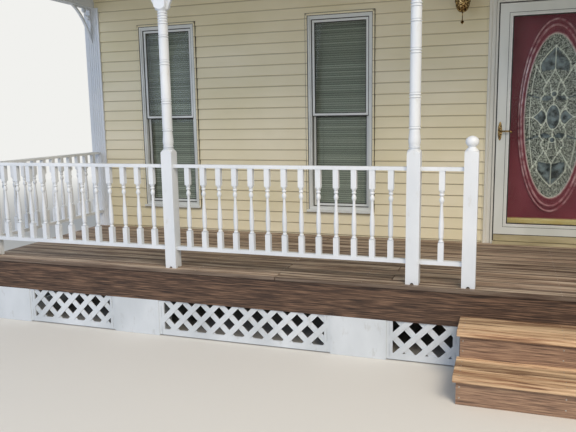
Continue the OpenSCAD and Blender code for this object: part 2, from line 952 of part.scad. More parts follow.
// Brass lanterns on the wall: a turned body in a cage of ribs, held by an arm on an oval plate
module wall_lanterns() {
    color(brass)
        both_sides()
            translate([lantern_x, wall_y - lantern_reach, lantern_tip_z]) {
                lantern_body();
                for (i = [0 : lantern_ribs - 1])
                    rotate(360 * i / lantern_ribs)
                        along_y(-lantern_rib_t / 2, lantern_rib_t / 2)
                            polygon([
                                [bowl_r - 7, bowl_top_z + 4],
                                [bowl_r + 3, bowl_top_z + 4],
                                [globe_r + 8, globe_top_z + 4],
                                [globe_r - 7, globe_top_z + 4],
                            ]);
                translate([0, lantern_reach, arm_z])
                    rotate([90, 0, 0]) {
                        linear_extrude(plate_t)
                            polygon(ellipse(plate_w, plate_h, 32));
                        translate([0, 0, plate_t - 1])
                            cylinder(h = 16, r1 = 22, r2 = 12);
                        cylinder(h = lantern_reach - bowl_r, r = arm_r);
                    }
            }
}

// Turned body from the ball at its lower tip up to the knob over its roof
module lantern_body() {
    stem_r = 4;
    ball_r = 15;
    stem_z = 3 + 2 * ball_r;
    rotate_extrude()
        polygon(concat(
            [[0, 0], [stem_r, 2]],
            bead(3, 2 * ball_r, stem_r, ball_r - stem_r),
            [[stem_r, stem_z + 1], [stem_r, bowl_z - 6], [2 * stem_r, bowl_z]],
            bowl_curve,
            [[bowl_r + 5, bowl_top_z + 1], [bowl_r + 5, bowl_top_z + 9]],
            [[bowl_r - 4, bowl_top_z + 10], [globe_r - 4, globe_top_z]],
            [[globe_r + 12, globe_top_z + 1], [globe_r + 12, globe_top_z + 8]],
            sweep(globe_top_z + 9, 46, globe_r + 6, 14),
            [[9, globe_top_z + 58]],
            bead(globe_top_z + 60, 22, 7, 8),
            [[0, globe_top_z + 84]]
        ));
}

// Deck

module porch_floor() {
    color(deck_brown)
        along_x(-wall_half_w, wall_half_w)
            polygon(rounded_board([floor_y, deck_h - floor_t], [wall_y, deck_h], edge_r));
}

// Boards round the edge of the deck
module rim_boards() {
    color(dark_brown) {
        block([-rim_half_w, rim_y, rim_z], [rim_half_w, rim_y + rim_t, rim_z + rim_h]);
        both_sides()
            block(
                [rim_half_w - rim_t, rim_y + rim_t + gap, rim_z],
                [rim_half_w, wall_y, rim_z + rim_h]
            );
    }
}

// Joists from front to back, each hung a hair's breadth from the ledger along the house
module floor_joists() {
    half = rim_half_w - rim_t - gap;
    pitch = 2 * half / (joist_count + 1);
    color(dark_brown) {
        block([-half, wall_y - rim_t, rim_z], [half, wall_y, rim_z + rim_h]);
        for (i = [1 : joist_count])
            translate([i * pitch - half, 0, 0])
                block(
                    [-rim_t / 2, rim_y + rim_t, rim_z],
                    [rim_t / 2, wall_y - rim_t - fit, rim_z + rim_h]
                );
    }
}

// White painted piers under the front edge of the deck
module deck_piers() {
    color(white)
        both_sides()
            for (x = [pier_near_x, pier_far_x, pier_corner_x])
                block([x - pier_w / 2, rim_y, 0], [x + pier_w / 2, rim_y + pier_d, rim_z]);
}

lattice_z = 8;

// Lattice between the piers in front, as [start, end, shift of its crossings]
module front_lattice() {
    bays = [
        [step_w / 2, pier_near_x - pier_w / 2, [-32, 26]],
        [pier_near_x + pier_w / 2, pier_far_x - pier_w / 2, [-57, -4]],
        [pier_far_x + pier_w / 2, pier_corner_x - pier_w / 2, [0, 0]],
    ];
    color(white)
        both_sides()
            for (bay = bays)
                translate([bay[0], rim_y + 6, lattice_z])
                    lattice_panel(bay[1] - bay[0], rim_z - lattice_z, bay[2]);
}

module side_lattice() {
    start_y = rim_y + pier_d;
    color(white)
        both_sides()
            translate([rim_half_w - 6, start_y, lattice_z])
                rotate([0, 0, 90])
                    lattice_panel(wall_y - start_y, rim_z - lattice_z);
}

// Steps

upper_riser_y = floor_y - tread_run + nosing;
lower_riser_y = upper_riser_y - tread_run;

// Three notched stringers that carry the treads
module stair_stringers() {
    outer_x = step_w / 2 - stringer_inset - stringer_t;
    color(dark_brown)
        for (x = [-outer_x - stringer_t, -stringer_t / 2, outer_x])
            along_x(x, x + stringer_t)
                polygon([
                    [lower_riser_y + riser_t, 0],
                    [rim_y, 0],
                    [rim_y, 2 * riser_h - tread_t],
                    [upper_riser_y + riser_t, 2 * riser_h - tread_t],
                    [upper_riser_y + riser_t, riser_h - tread_t],
                    [lower_riser_y + riser_t, riser_h - tread_t],
                ]);
}

module stair_risers() {
    half = step_w / 2 - stringer_inset;
    color(deck_brown) {
        block([-half, lower_riser_y, 0], [half, lower_riser_y + riser_t, riser_h - tread_t]);
        block(
            [-half, upper_riser_y, riser_h],
            [half, upper_riser_y + riser_t, 2 * riser_h - tread_t]
        );
    }
}

module stair_treads() {
    color(deck_brown)
        along_x(-step_w / 2, step_w / 2) {
            polygon(rounded_board(
                [lower_riser_y - nosing, riser_h - tread_t],
                [upper_riser_y + riser_t, riser_h],
                edge_r
            ));
            polygon(rounded_board(
                [upper_riser_y - nosing, 2 * riser_h - tread_t],
                [rim_y, 2 * riser_h],
                edge_r
            ));
        }
}

// Posts and railings

module pair_of_posts(x) {
    color(white)
        both_sides()
            translate([x, post_y, deck_h])
                roof_post();
}

module corner_posts() {
    pair_of_posts(corner_post_x);
}

module middle_posts() {
    pair_of_posts(middle_post_x);
}

module step_posts() {
    pair_of_posts(step_post_x);
}

module newel_posts() {
    color(white)
        both_sides()
            translate([newel_x, post_y, deck_h])
                newel();
}

module railing_end_right() {
    color(white)
        front_railing(end_bay);
}

module railing_end_left() {
    mirror([1, 0, 0])
        railing_end_right();
}

module railing_main_right() {
    color(white)
        front_railing(main_bay);
}

module railing_main_left() {
    mirror([1, 0, 0])
        railing_main_right();
}

module step_railings() {
    color(white)
        both_sides()
            front_railing(step_bay);
}

module side_railings() {
    color(white)
        both_sides()
            translate([corner_post_x, side_bay[0], deck_h])
                rotate([0, 0, 90])
                    railing(side_bay[1] - side_bay[0]);
}

// Outline of a bracket between its two straight sides and its hollow curve
module bracket_outline() {
    w = bracket_reach;
    h = bracket_drop;
    tip = 4;
    polygon(concat([[0, -h], [0, 0], [w, 0]], curve([w, -tip], [0.40 * w, -0.22 * h], [tip, -h])));
}

// Sawn bracket in the corner between a post and the beam; its corner is at the origin
module bracket() {
    rings_at = [
        [bracket_leg + 0.120 * bracket_reach, bracket_leg + 0.120 * bracket_reach, 0.130],
        [bracket_leg + 0.290 * bracket_reach, bracket_leg + 0.060 * bracket_reach, 0.070],
        [bracket_leg + 0.060 * bracket_reach, bracket_leg + 0.290 * bracket_reach, 0.070],
    ];
    shift = bracket_band / sqrt(2);
    along_y(-bracket_t / 2, bracket_t / 2) {
        difference() {
            bracket_outline();
            intersection() {
                translate([bracket_leg, -bracket_leg - bracket_drop])
                    square([bracket_reach, bracket_drop]);
                translate([-shift, shift])
                    bracket_outline();
            }
        }
        for (ring = rings_at)
            translate([ring[0], -ring[1]])
                difference() {
                    circle(r = ring[2] * bracket_reach);
                    circle(r = ring[2] * bracket_reach - bracket_leg / 2);
                }
    }
}

module post_brackets() {
    color(white)
        both_sides() {
            for (x = [step_post_x, middle_post_x, corner_post_x])
                for (side = x == corner_post_x ? [-1] : [-1, 1])
                    translate([x + side * post_w / 2, post_y, beam_z])
                        mirror([side < 0 ? 1 : 0, 0, 0])
                            bracket();
            translate([corner_post_x, post_back_y, beam_z])
                rotate([0, 0, 90])
                    bracket();
            translate([corner_post_x, wall_y - corner_trim_t, beam_z])
                rotate([0, 0, -90])
                    bracket();
        }
}

// Roof

// Beam on the front posts, with its top cut to the slope of the roof
module front_beam() {
    color(white)
        along_x(-corner_out_x, corner_out_x)
            polygon([
                [post_front_y, beam_z],
                [post_back_y, beam_z],
                [post_back_y, roof_z(post_back_y) - fit],
                [post_front_y, beam_top_z - fit],
            ]);
}

module side_beams() {
    color(white)
        both_sides()
            block(
                [corner_out_x - post_w, post_back_y, beam_z],
                [corner_out_x, wall_y, beam_top_z]
            );
}

module porch_ceiling() {
    color(white)
        block(
            [post_w - corner_out_x, post_back_y, ceiling_z],
            [corner_out_x - post_w, wall_y, ceiling_z + ceiling_t]
        );
}

module roof_deck() {
    color(shingle)
        along_x(-roof_half_w, roof_half_w)
            polygon([
                [eave_y, roof_z(eave_y)],
                [wall_y, roof_z(wall_y)],
                [wall_y, roof_z(wall_y) + roof_t],
                [eave_y, roof_z(eave_y) + roof_t],
            ]);
}

// Wedges that close the ends of the roof over the side beams
module roof_ends() {
    color(cream)
        both_sides()
            along_x(corner_out_x - post_w, corner_out_x)
                polygon([
                    [post_back_y, beam_top_z],
                    [wall_y, beam_top_z],
                    [wall_y, roof_z(wall_y) - fit],
                    [post_back_y, roof_z(post_back_y) - fit],
                ]);
}

// White boards along the eave and the sloping ends of the roof, and the soffit under the eave
module eave_boards() {
    drop = 20;
    low_z = roof_z(eave_y) - drop;
    color(white) {
        block(
            [-roof_half_w - fascia_t, eave_y - fascia_t, low_z],
            [roof_half_w + fascia_t, eave_y, roof_z(eave_y) + roof_t]
        );
        block(
            [-roof_half_w, eave_y + fit, low_z],
            [roof_half_w, post_front_y, low_z + soffit_t]
        );
        both_sides()
            along_x(roof_half_w + fit, roof_half_w + fascia_t)
                polygon([
                    [eave_y + fit, low_z],
                    [wall_y, roof_z(wall_y) - drop],
                    [wall_y, roof_z(wall_y) + roof_t],
                    [eave_y + fit, roof_z(eave_y + fit) + roof_t],
                ]);
    }
}

foundation_wall();
house_wall_left();
house_wall_right();
house_wall_over_door();
corner_trim();
door_jambs();
door_head();
door_sill();
storm_door();
storm_glass();
storm_handle();
entry_door();
oval_glass();
entry_knob();
window_frames();
window_sashes();
window_glass();
window_blinds();
wall_lanterns();
porch_floor();
rim_boards();
floor_joists();
deck_piers();
front_lattice();
side_lattice();
stair_stringers();
stair_risers();
stair_treads();
corner_posts();
middle_posts();
step_posts();
newel_posts();
railing_end_left();
railing_end_right();
railing_main_left();
railing_main_right();
step_railings();
side_railings();
post_brackets();
front_beam();
side_beams();
porch_ceiling();
roof_deck();
roof_ends();
eave_boards();
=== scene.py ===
# %% Load the frame
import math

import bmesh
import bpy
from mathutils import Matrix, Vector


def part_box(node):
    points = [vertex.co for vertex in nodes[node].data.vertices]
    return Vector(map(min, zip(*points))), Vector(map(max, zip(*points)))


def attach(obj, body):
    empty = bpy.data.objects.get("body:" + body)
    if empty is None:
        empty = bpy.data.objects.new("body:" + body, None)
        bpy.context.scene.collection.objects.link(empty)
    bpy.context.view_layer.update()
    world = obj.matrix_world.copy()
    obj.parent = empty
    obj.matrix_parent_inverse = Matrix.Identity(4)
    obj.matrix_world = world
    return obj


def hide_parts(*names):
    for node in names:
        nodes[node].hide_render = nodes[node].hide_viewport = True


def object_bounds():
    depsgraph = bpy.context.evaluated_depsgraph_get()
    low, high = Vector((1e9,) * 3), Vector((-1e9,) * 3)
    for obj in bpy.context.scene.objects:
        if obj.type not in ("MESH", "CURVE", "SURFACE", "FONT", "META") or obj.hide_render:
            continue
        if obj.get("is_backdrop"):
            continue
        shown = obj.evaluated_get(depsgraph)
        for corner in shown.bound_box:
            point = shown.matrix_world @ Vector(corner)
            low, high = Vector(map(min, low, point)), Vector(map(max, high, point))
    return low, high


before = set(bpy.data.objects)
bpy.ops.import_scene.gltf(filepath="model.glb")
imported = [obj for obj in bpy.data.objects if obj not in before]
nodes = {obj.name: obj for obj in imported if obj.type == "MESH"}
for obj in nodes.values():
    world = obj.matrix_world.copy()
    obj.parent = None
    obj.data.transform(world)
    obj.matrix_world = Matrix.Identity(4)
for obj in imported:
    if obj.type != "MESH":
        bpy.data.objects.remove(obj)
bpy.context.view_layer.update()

# %% [markdown]
# A front porch, dressed for the camera
#
# The porch comes from a CAD program as plain solids in metres. This lesson leaves every solid
# where it is and gives it what a CAD program leaves out: lap siding, floor boards, shingles,
# blinds, leaded glass, and a material for each paint, wood and metal. The small repeated pieces
# grow from a Geometry Nodes tree, so that one board or slat is drawn once.
#
# All sizes are in metres. X runs along the house, -Y looks to the street and Z is up.

scene = bpy.context.scene

# %% [markdown]
# Places come from the solids
#
# A window node holds four windows. To know where each one is, the node's mesh is copied, its
# doubles are merged and the loose parts are measured. The pieces made later follow these boxes, so
# a change in the CAD moves them too. The width of a floor board, the height of a siding course and
# the place of the first slat are set here as well, because the materials darken the edges of these
# rows: dirt and painted shade under each lap of siding, painted shade along each slat, and a
# darker line along each floor board.


# %% Measure the separate solids in a node
MERGE = 1e-5


def solids(node):
    """Boxes (low, high) of the separate solids in one CAD node, from left to right."""
    shape = bmesh.new()
    shape.from_mesh(nodes[node].data)
    bmesh.ops.remove_doubles(shape, verts=shape.verts, dist=MERGE)
    left = set(shape.verts)
    boxes = []
    while left:
        front = [left.pop()]
        low, high = front[0].co.copy(), front[0].co.copy()
        while front:
            vert = front.pop()
            low = Vector(map(min, low, vert.co))
            high = Vector(map(max, high, vert.co))
            for edge in vert.link_edges:
                other = edge.other_vert(vert)
                if other in left:
                    left.remove(other)
                    front.append(other)
        boxes.append((low, high))
    shape.free()
    return sorted(boxes, key=lambda box: (round(box[0].x, 3), box[0].z))


windows = solids("window_frames")
treads = solids("stair_treads")
floor_low, floor_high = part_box("porch_floor")
wall_low, wall_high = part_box("house_wall_left")
wall_y = wall_low.y
BOARD_AND_GAP = 0.1425
FLOOR_ROWS = round((floor_high.y - floor_low.y) / BOARD_AND_GAP)
FLOOR_PITCH = (floor_high.y - floor_low.y) / FLOOR_ROWS
COURSE, FIRST_SHADOW = 0.1016, 0.4578
SLAT, SLAT_PITCH, TIP, FIRST_SLAT = 0.0262, 0.0205, math.radians(64), 0.02
first_slat_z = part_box("window_blinds")[0].z + FIRST_SLAT
print("windows", len(windows), "treads", len(treads), "wall front at", round(wall_y, 3))

# %% [markdown]
# The camera
#
# The photograph was taken from in front of the porch, a little left of the steps, at the height of
# a standing eye. The camera's place and turn were worked out from straight lines of known size, so
# they are plain numbers here. The camera looks slightly down and to the left, and leans by one
# degree.

# %% Camera
IMAGE_WIDTH, SENSOR_WIDTH = 576, 36
FOCAL_PIXELS = 637.5
EYE = Vector((-0.357, -5.956, 1.702))
YAW, PITCH, LEAN = math.radians(19.08), math.radians(8.97), -0.0166

level = math.cos(PITCH)
ahead = Vector((-math.sin(YAW) * level, math.cos(YAW) * level, -math.sin(PITCH)))
level_right = Vector((math.cos(YAW), math.sin(YAW), 0))
level_up = level_right.cross(ahead)
right = math.cos(LEAN) * level_right + math.sin(LEAN) * level_up
up = -math.sin(LEAN) * level_right + math.cos(LEAN) * level_up

camera = bpy.data.objects.new("camera", bpy.data.cameras.new("camera"))
scene.collection.objects.link(camera)
camera.data.sensor_width = SENSOR_WIDTH
camera.data.lens = FOCAL_PIXELS / IMAGE_WIDTH * camera.data.sensor_width
turn = Matrix((right, up, -ahead)).transposed()
camera.matrix_world = Matrix.Translation(EYE) @ turn.to_4x4()
scene.camera = camera
scene.view_settings.view_transform = "Standard"
print("lens", round(camera.data.lens, 2), "mm")

# %% [markdown]
# Small helpers for materials
#
# Colours are written as sRGB hex, as in a paint chart, and one function turns them to the linear
# values that Blender calculates with. Another adds a node with its settings and its links, so that
# a material reads as a short list of steps. A socket takes a number, a hex colour, a node or one
# output of a node.


# %% Colours and nodes
RAMP, MIX, MATH, VECTOR_MATH = (
    "ShaderNodeValToRGB", "ShaderNodeMix", "ShaderNodeMath", "ShaderNodeVectorMath"
)
MULTIPLIED = {"data_type": "RGBA", "blend_type": "MULTIPLY"}
EVEN = (1, 1, 1)


def linear(code):
    """Turns an sRGB hex colour into linear red, green, blue and alpha."""
    parts = [int(code[i : i + 2], 16) / 255 for i in (1, 3, 5)]
    return [p / 12.92 if p <= 0.04045 else ((p + 0.055) / 1.055) ** 2.4 for p in parts] + [1]


def connect(tree, value, socket):
    """Gives a socket a number, a hex colour, an output, or the first live output of a node."""
    if isinstance(value, bpy.types.Node):
        value = next(output for output in value.outputs if output.enabled)
    if isinstance(value, bpy.types.NodeSocket):
        tree.links.new(value, socket)
    elif isinstance(value, str) and value.startswith("#"):
        socket.default_value = linear(value)
    else:
        socket.default_value = value


def add(tree, kind, inputs=(), stops=(), **settings):
    """Adds a node; inputs holds (socket, value) pairs, stops a ramp's (position, colour) pairs."""
    node = tree.nodes.new(kind)
    for key, value in settings.items():
        setattr(node, key, value)
    for socket, value in inputs:
        connect(tree, value, node.inputs[socket])
    if stops:
        points = node.color_ramp.elements
        while len(points) < len(stops):
            points.new(0.5)
        for point, (position, colour) in zip(points, stops):
            point.position = position
            point.color = linear(colour)
    return node


def new_material(name, colour, **sockets):
    """A material with one Principled shader; returns it, its tree and the shader."""
    material = bpy.data.materials.new(name)
    material.use_nodes = True
    tree = material.node_tree
    shader = tree.nodes["Principled BSDF"]
    shader.inputs["Base Color"].default_value = linear(colour)
    for key, value in sockets.items():
        shader.inputs[key.replace("_", " ")].default_value = value
    material.diffuse_color = linear(colour)
    return material, tree, shader


def grain(tree, size, stretch=EVEN, detail=3, roughness=0.5, where=None):
    """Noise with features about size metres across, longer along axes with a larger stretch."""
    if where is None:
        where = add(tree, "ShaderNodeTexCoord").outputs["Object"]
    scale = [1 / (size * s) for s in stretch]
    place = add(tree, "ShaderNodeMapping", [("Vector", where), ("Scale", scale)])
    inputs = [("Vector", place), ("Scale", 1), ("Detail", detail), ("Roughness", roughness)]
    return add(tree, "ShaderNodeTexNoise", inputs).outputs["Fac"]


def along_rows(tree, axis, start, pitch):
    """Goes from 0 to 1 across each row of boards or courses; axis is 1 for Y and 2 for Z."""
    where = add(tree, "ShaderNodeTexCoord").outputs["Object"]
    part = add(tree, "ShaderNodeSeparateXYZ", [(0, where)]).outputs[axis]
    past = add(tree, MATH, [(0, part), (1, start)], operation="SUBTRACT")
    row = add(tree, MATH, [(0, past), (1, pitch)], operation="DIVIDE")
    return add(tree, MATH, [(0, row)], operation="FRACT")


def dress(tree, shader, colour, *reliefs):
    """Links a pattern of colour, and bumps given as (height, depth in metres, strength)."""
    connect(tree, colour, shader.inputs["Base Color"])
    under = None
    for height, depth, strength in reliefs:
        inputs = [("Height", height), ("Distance", depth), ("Strength", strength)]
        under = add(tree, "ShaderNodeBump", inputs + ([("Normal", under)] if under else []))
        connect(tree, under, shader.inputs["Normal"])


def coated(name, colour, clouds, shades, skin=None, depth=0.0002, strength=0.4, **sockets):
    """A smooth finish. clouds and skin are the sizes of its colour's and its surface's grain."""
    material, tree, shader = new_material(name, colour, **sockets)
    tone = add(tree, RAMP, [(0, grain(tree, *clouds))], shades)
    dress(tree, shader, tone, *([(grain(tree, *skin), depth, strength)] if skin else []))
    return material


print("helpers ready")

# %% [markdown]
# White paint on turned wood
#
# Posts, rails, spindles and lattice are pine with exterior latex paint. The brush leaves fine
# streaks, the coat is never one even white, and rain leaves a little grey grime. Latex has a soft
# gloss, so the roughness is near 0.4. A brush mark is under 1 mm wide and is drawn 2.5 mm wide, or
# it would not show from the camera.


# %% Painted wood
def painted_wood(name, base, shade, grime, streak, gloss=0.4):
    """Latex paint; streak stretches the brush marks along an axis."""
    material, tree, shader = new_material(name, base, Roughness=gloss, IOR=1.47)
    clouds = grain(tree, 0.35, (1, 1, 2), 4)
    coat = add(tree, RAMP, [(0, clouds)], [(0.3, shade), (0.65, base)])
    dirt = grain(tree, 0.05, (1, 1, 2.5), 5, 0.65)
    spots = add(tree, RAMP, [(0, dirt)], [(0.60, "#000000"), (0.78, "#b0b0b0")])
    worn = add(tree, MIX, [(0, spots), (6, coat), (7, grime)], data_type="RGBA")
    dress(tree, shader, worn, (grain(tree, 0.0025, streak, 2), 0.0004, 0.5))
    return material


UP_AND_DOWN, FLAT_WAYS, BOTH_WAYS = (1, 1, 40), (40, 40, 1), (4, 4, 8)
# The upright, rail and skirt whites lean a little blue; that cool cast is painted shade, standing
# for white paint in the blue light of an open sky.
paint_upright = painted_wood(
    "latex_on_pine_upright", "#dfe4e9", "#cfd6dd", "#b9b8ae", UP_AND_DOWN
)
paint_rails = painted_wood("latex_on_pine_rails", "#dfe4e9", "#ced5dc", "#b5b4aa", FLAT_WAYS)
paint_skirt = painted_wood("latex_on_pine_skirt", "#d8dee3", "#bfc6cb", "#8d8878", BOTH_WAYS, 0.5)
paint_trim = painted_wood(
    "latex_on_trim_boards", "#dddcd2", "#cfcec3", "#b2ad9c", UP_AND_DOWN, 0.45
)

# %% [markdown]
# Vinyl siding, window frames and blinds
#
# Vinyl siding is moulded with a shallow wood grain and is evenly coloured right through. Its matt,
# cream face fades a little in patches, and a thin dark band under each lap is partly dirt and
# partly painted shade. The moulded grain is about 1 mm wide and is drawn 2 mm wide. Window frames
# are smooth extruded vinyl, a greyer white with a soft sheen. Blind slats are thin enamelled
# aluminium, and each is darkened along its lower part, where the slats overlap, as painted shade.

# %% Vinyl and slats
siding_cream, tree, shader = new_material(
    "moulded_vinyl_siding", "#e8deba", Roughness=0.5, IOR=1.5
)
fade = grain(tree, 0.6, (2, 1, 1), 4)
faded = add(tree, RAMP, [(0, fade)], [(0.3, "#dfd5af"), (0.7, "#eee5c8")])
dust = grain(tree, 0.03, (6, 1, 1), 5, 0.6)
dusty = add(tree, RAMP, [(0, dust)], [(0.55, "#000000"), (0.8, "#606060")])
worn = add(tree, MIX, [(0, dusty), (6, faded), (7, "#c4b996")], data_type="RGBA")
# Partly dirt and partly painted shade: the top of each course, just under the lap of the one
# above, is darkened.
up_course = along_rows(tree, 2, FIRST_SHADOW, COURSE)
lap_shade_and_dirt = add(tree, RAMP, [(0, up_course)], [(0.90, "#000000"), (0.96, "#c8c8c8")])
siding_with_lap_shade = add(tree, MIX, [(0, lap_shade_and_dirt), (6, worn), (7, "#85785a")], data_type="RGBA")
dress(tree, shader, siding_with_lap_shade, (grain(tree, 0.002, (30, 1, 1), 3), 0.0006, 0.6))

window_vinyl = coated(
    "extruded_window_vinyl", "#dcdfdc",
    (0.25, EVEN, 3), [(0.3, "#cdd1ce"), (0.7, "#e1e4e1")],
    (0.004, EVEN, 2), 0.0001, Roughness=0.38, IOR=1.5,
)

slat_enamel, tree, shader = new_material("enamelled_slats", "#8f9184", Roughness=0.45)
own_shade = add(tree, "ShaderNodeAttribute", attribute_name="shade").outputs["Fac"]
tone = add(tree, RAMP, [(0, own_shade)], [(0.0, "#8d9084"), (1.0, "#b0b2a4")])
# Painted shade: each slat is darkened along its lower part, where the slats overlap.
up_slat = along_rows(tree, 2, first_slat_z - SLAT / 2 * math.sin(TIP), SLAT_PITCH)
stops = [(0.0, "#d0d0d0"), (0.18, "#d0d0d0"), (0.40, "#000000")]
painted_slat_shade = add(tree, RAMP, [(0, up_slat)], stops)
shadowed = add(tree, MIX, [(0, painted_slat_shade), (6, tone), (7, "#363a32")], data_type="RGBA")
dress(tree, shader, shadowed, (grain(tree, 0.01, (8, 1, 1), 2), 0.0002, 0.3))

# %% [markdown]
# Stained boards
#
# The deck is softwood under a red-brown stain. Each board took the stain differently, the grain
# runs along the board, and feet and rain have worn it pale along the grain. Every board carries
# its own random value in an attribute named shade, which shifts its colour and slides its grain.
# The rings of such a board are 2 to 5 mm apart and are drawn 8 mm apart, so that they show.


# %% Stained wood
def stained_wood(name, deep, mid, worn, per_board, wear=0.62, board_rows=None):
    """
    Red-brown stain with grain along X. per_board is True where boards carry a shade attribute,
    and board_rows is (start, pitch) of boards along Y whose long edges are drawn darker.
    """
    material, tree, shader = new_material(name, mid, Roughness=0.62, IOR=1.45)
    where = add(tree, "ShaderNodeTexCoord").outputs["Object"]
    if per_board:
        board = add(tree, "ShaderNodeAttribute", attribute_name="shade").outputs["Fac"]
        offset = add(tree, "ShaderNodeCombineXYZ", [(0, board), (1, board), (2, board)])
        slide = [(0, offset), (1, (7, 5, 3)), (2, where)]
        where = add(tree, VECTOR_MATH, slide, operation="MULTIPLY_ADD")
    rings = grain(tree, 0.008, (26, 1, 1), 5, 0.6, where)
    wood = add(tree, RAMP, [(0, rings)], [(0.34, deep), (0.50, mid), (0.66, worn)])
    if per_board:
        tints = [(0.0, "#75685f"), (0.5, "#bfb2a9"), (1.0, "#ffffff")]
        tint = add(tree, RAMP, [(0, board)], tints)
        wood = add(tree, MIX, [(0, 0.85), (6, wood), (7, tint)], **MULTIPLIED)
    rubbed = grain(tree, 0.035, (26, 1, 1), 5, 0.65, where)
    reach = [(wear - 0.06, "#000000"), (wear + 0.10, "#d8d8d8")]
    patches = add(tree, RAMP, [(0, rubbed)], reach)
    wood = add(tree, MIX, [(0, patches), (6, wood), (7, worn)], data_type="RGBA")
    # Each board is drawn darker along its two long edges, with a ragged line.
    if board_rows:
        fray = [(0, grain(tree, 0.02, (6, 1, 1), 4)), (1, 0.16)]
        fray.append((2, along_rows(tree, 1, *board_rows)))
        ragged = add(tree, MATH, fray, operation="MULTIPLY_ADD")
        edges = [(0.14, "#dcdcdc"), (0.24, "#000000"), (0.95, "#000000"), (1.0, "#dcdcdc")]
        edge = add(tree, RAMP, [(0, ragged)], edges)
        wood = add(tree, MIX, [(0, edge), (6, wood), (7, "#3d2d23")], data_type="RGBA")
    dress(tree, shader, wood, (rings, 0.0012, 0.7))
    return material


deck_stain = stained_wood(
    "stained_deck_pine", "#55453c", "#98816f", "#d3c2ae", True, 0.52, (floor_low.y, FLOOR_PITCH)
)
step_stain = stained_wood("stained_step_pine", "#74513e", "#be9775", "#f0d2aa", True, 0.48)
riser_stain = stained_wood("stained_riser_pine", "#57443a", "#8f735f", "#b3957a", False, 0.60)
frame_stain = stained_wood("dark_framing_stain", "#231914", "#4a372b", "#7d624e", False, 0.60)

# %% [markdown]
# Doors, brass and seals
#
# The storm door is aluminium with a baked white enamel, smoother than the brushed wood beside it.
# The entry door is steel in a burgundy enamel, and the beads of its moulding are a paler, glossy
# pink, which is a painted highlight. Brass comes in three states: the knobs have aged, so their
# hollows are brown and their crowns bright; the handle and the lanterns are nearly black with
# bright spots; the kick plate is brushed satin, whose fine lines spread a highlight sideways.
# Those lines are 0.2 mm wide and are drawn 4 mm wide. Seals are a dull, dark rubber that reads as
# a thin line, and where they lie in a joint or gap their darkness is painted shade. The gasket
# round the oval is a pale rose, a painted highlight along the glass's edge, and the glazing bead
# is a paler white than the door, a painted highlight that draws a light edge round the pane. The
# sill and the sweep have a beige enamel that feet have scuffed along its length. The skin of all
# these is finer than 1 mm, and is drawn 2 to 6 mm across so that it breaks up the highlights.

# %% Door enamels, brass and seals
storm_enamel = coated(
    "baked_storm_enamel", "#dde0da",
    (0.3, (1, 1, 2), 3), [(0.3, "#cfd3cc"), (0.7, "#e2e5df")],
    (0.003, EVEN, 2), 0.0001, Roughness=0.32, IOR=1.5,
)
burgundy = coated(
    "burgundy_door_enamel", "#8a3445",
    (0.4, (1, 1, 1.5), 4), [(0.3, "#782b3b"), (0.7, "#964050")],
    (0.004, (1, 1, 12), 3), Roughness=0.4, IOR=1.5, Specular_IOR_Level=0.3,
)
# Painted highlight: the moulding's beads are a paler pink than the door, standing for the light on
# their crests; the glossy coat is real.
bead_highlight_enamel = coated(
    "burgundy_bead_painted_highlight", "#b96a7a",
    (0.05, EVEN, 4), [(0.36, "#9c3c50"), (0.64, "#dba3ab")],
    (0.006, EVEN, 3), Roughness=0.28, IOR=1.5, Coat_Weight=0.8, Coat_Roughness=0.05,
)
aged_brass = coated(
    "aged_brass", "#a5824a",
    (0.02, EVEN, 5, 0.6), [(0.36, "#4f3b21"), (0.5, "#94713c"), (0.64, "#d8b878")],
    (0.003, EVEN, 2), Metallic=1.0, Roughness=0.26,
)
antique_brass = coated(
    "antique_brass", "#6d5230",
    (0.012, EVEN, 4, 0.6), [(0.4, "#2c2013"), (0.5, "#6d5230"), (0.6, "#d9bd84")],
    (0.003, EVEN, 2), Metallic=1.0, Roughness=0.24,
)
BRUSHED = (0.004, (40, 1, 1), 4, 0.6)
plate_brass = coated(
    "satin_brass", "#f8de98",
    BRUSHED, [(0.35, "#e6c274"), (0.6, "#fff0bf")],
    BRUSHED, Metallic=1.0, Roughness=0.5,
)
# Painted highlight: the pale rose ring at the oval glass's edge stands for a highlight along that
# edge.
gasket_highlight_vinyl = coated(
    "rose_gasket_painted_highlight", "#dcbcbc",
    (0.03, EVEN, 3), [(0.35, "#c9a3a4"), (0.65, "#efdcda")],
    (0.004, EVEN, 2), 0.0001, Roughness=0.35, IOR=1.5,
)
# Painted highlight: the glazing bead is a paler white than the storm door's enamel, to draw a
# light edge round the pane.
bead_highlight_vinyl = coated(
    "white_bead_painted_highlight", "#eeeae6",
    (0.03, EVEN, 3), [(0.35, "#e2dcd8"), (0.65, "#f5f2ef")],
    (0.004, EVEN, 2), 0.0001, Roughness=0.3, IOR=1.5,
)
# Dark rubber, and painted shade: where these strips lie in joints and gaps, their darkness stands
# for the shadow there.
rubber_and_painted_shade = coated(
    "dark_rubber_and_painted_shade", "#2a2a27",
    (0.02, EVEN, 4), [(0.35, "#1d1d1b"), (0.7, "#3d3c37")],
    (0.003, EVEN, 2), Roughness=0.6, IOR=1.5,
)
sill_enamel = coated(
    "beige_sill_enamel", "#b9ae8b",
    (0.08, (4, 1, 1), 4), [(0.35, "#9c9170"), (0.7, "#c2b794")],
    (0.002, (20, 1, 1), 2), 0.0003, 0.5, Roughness=0.4, IOR=1.5,
)
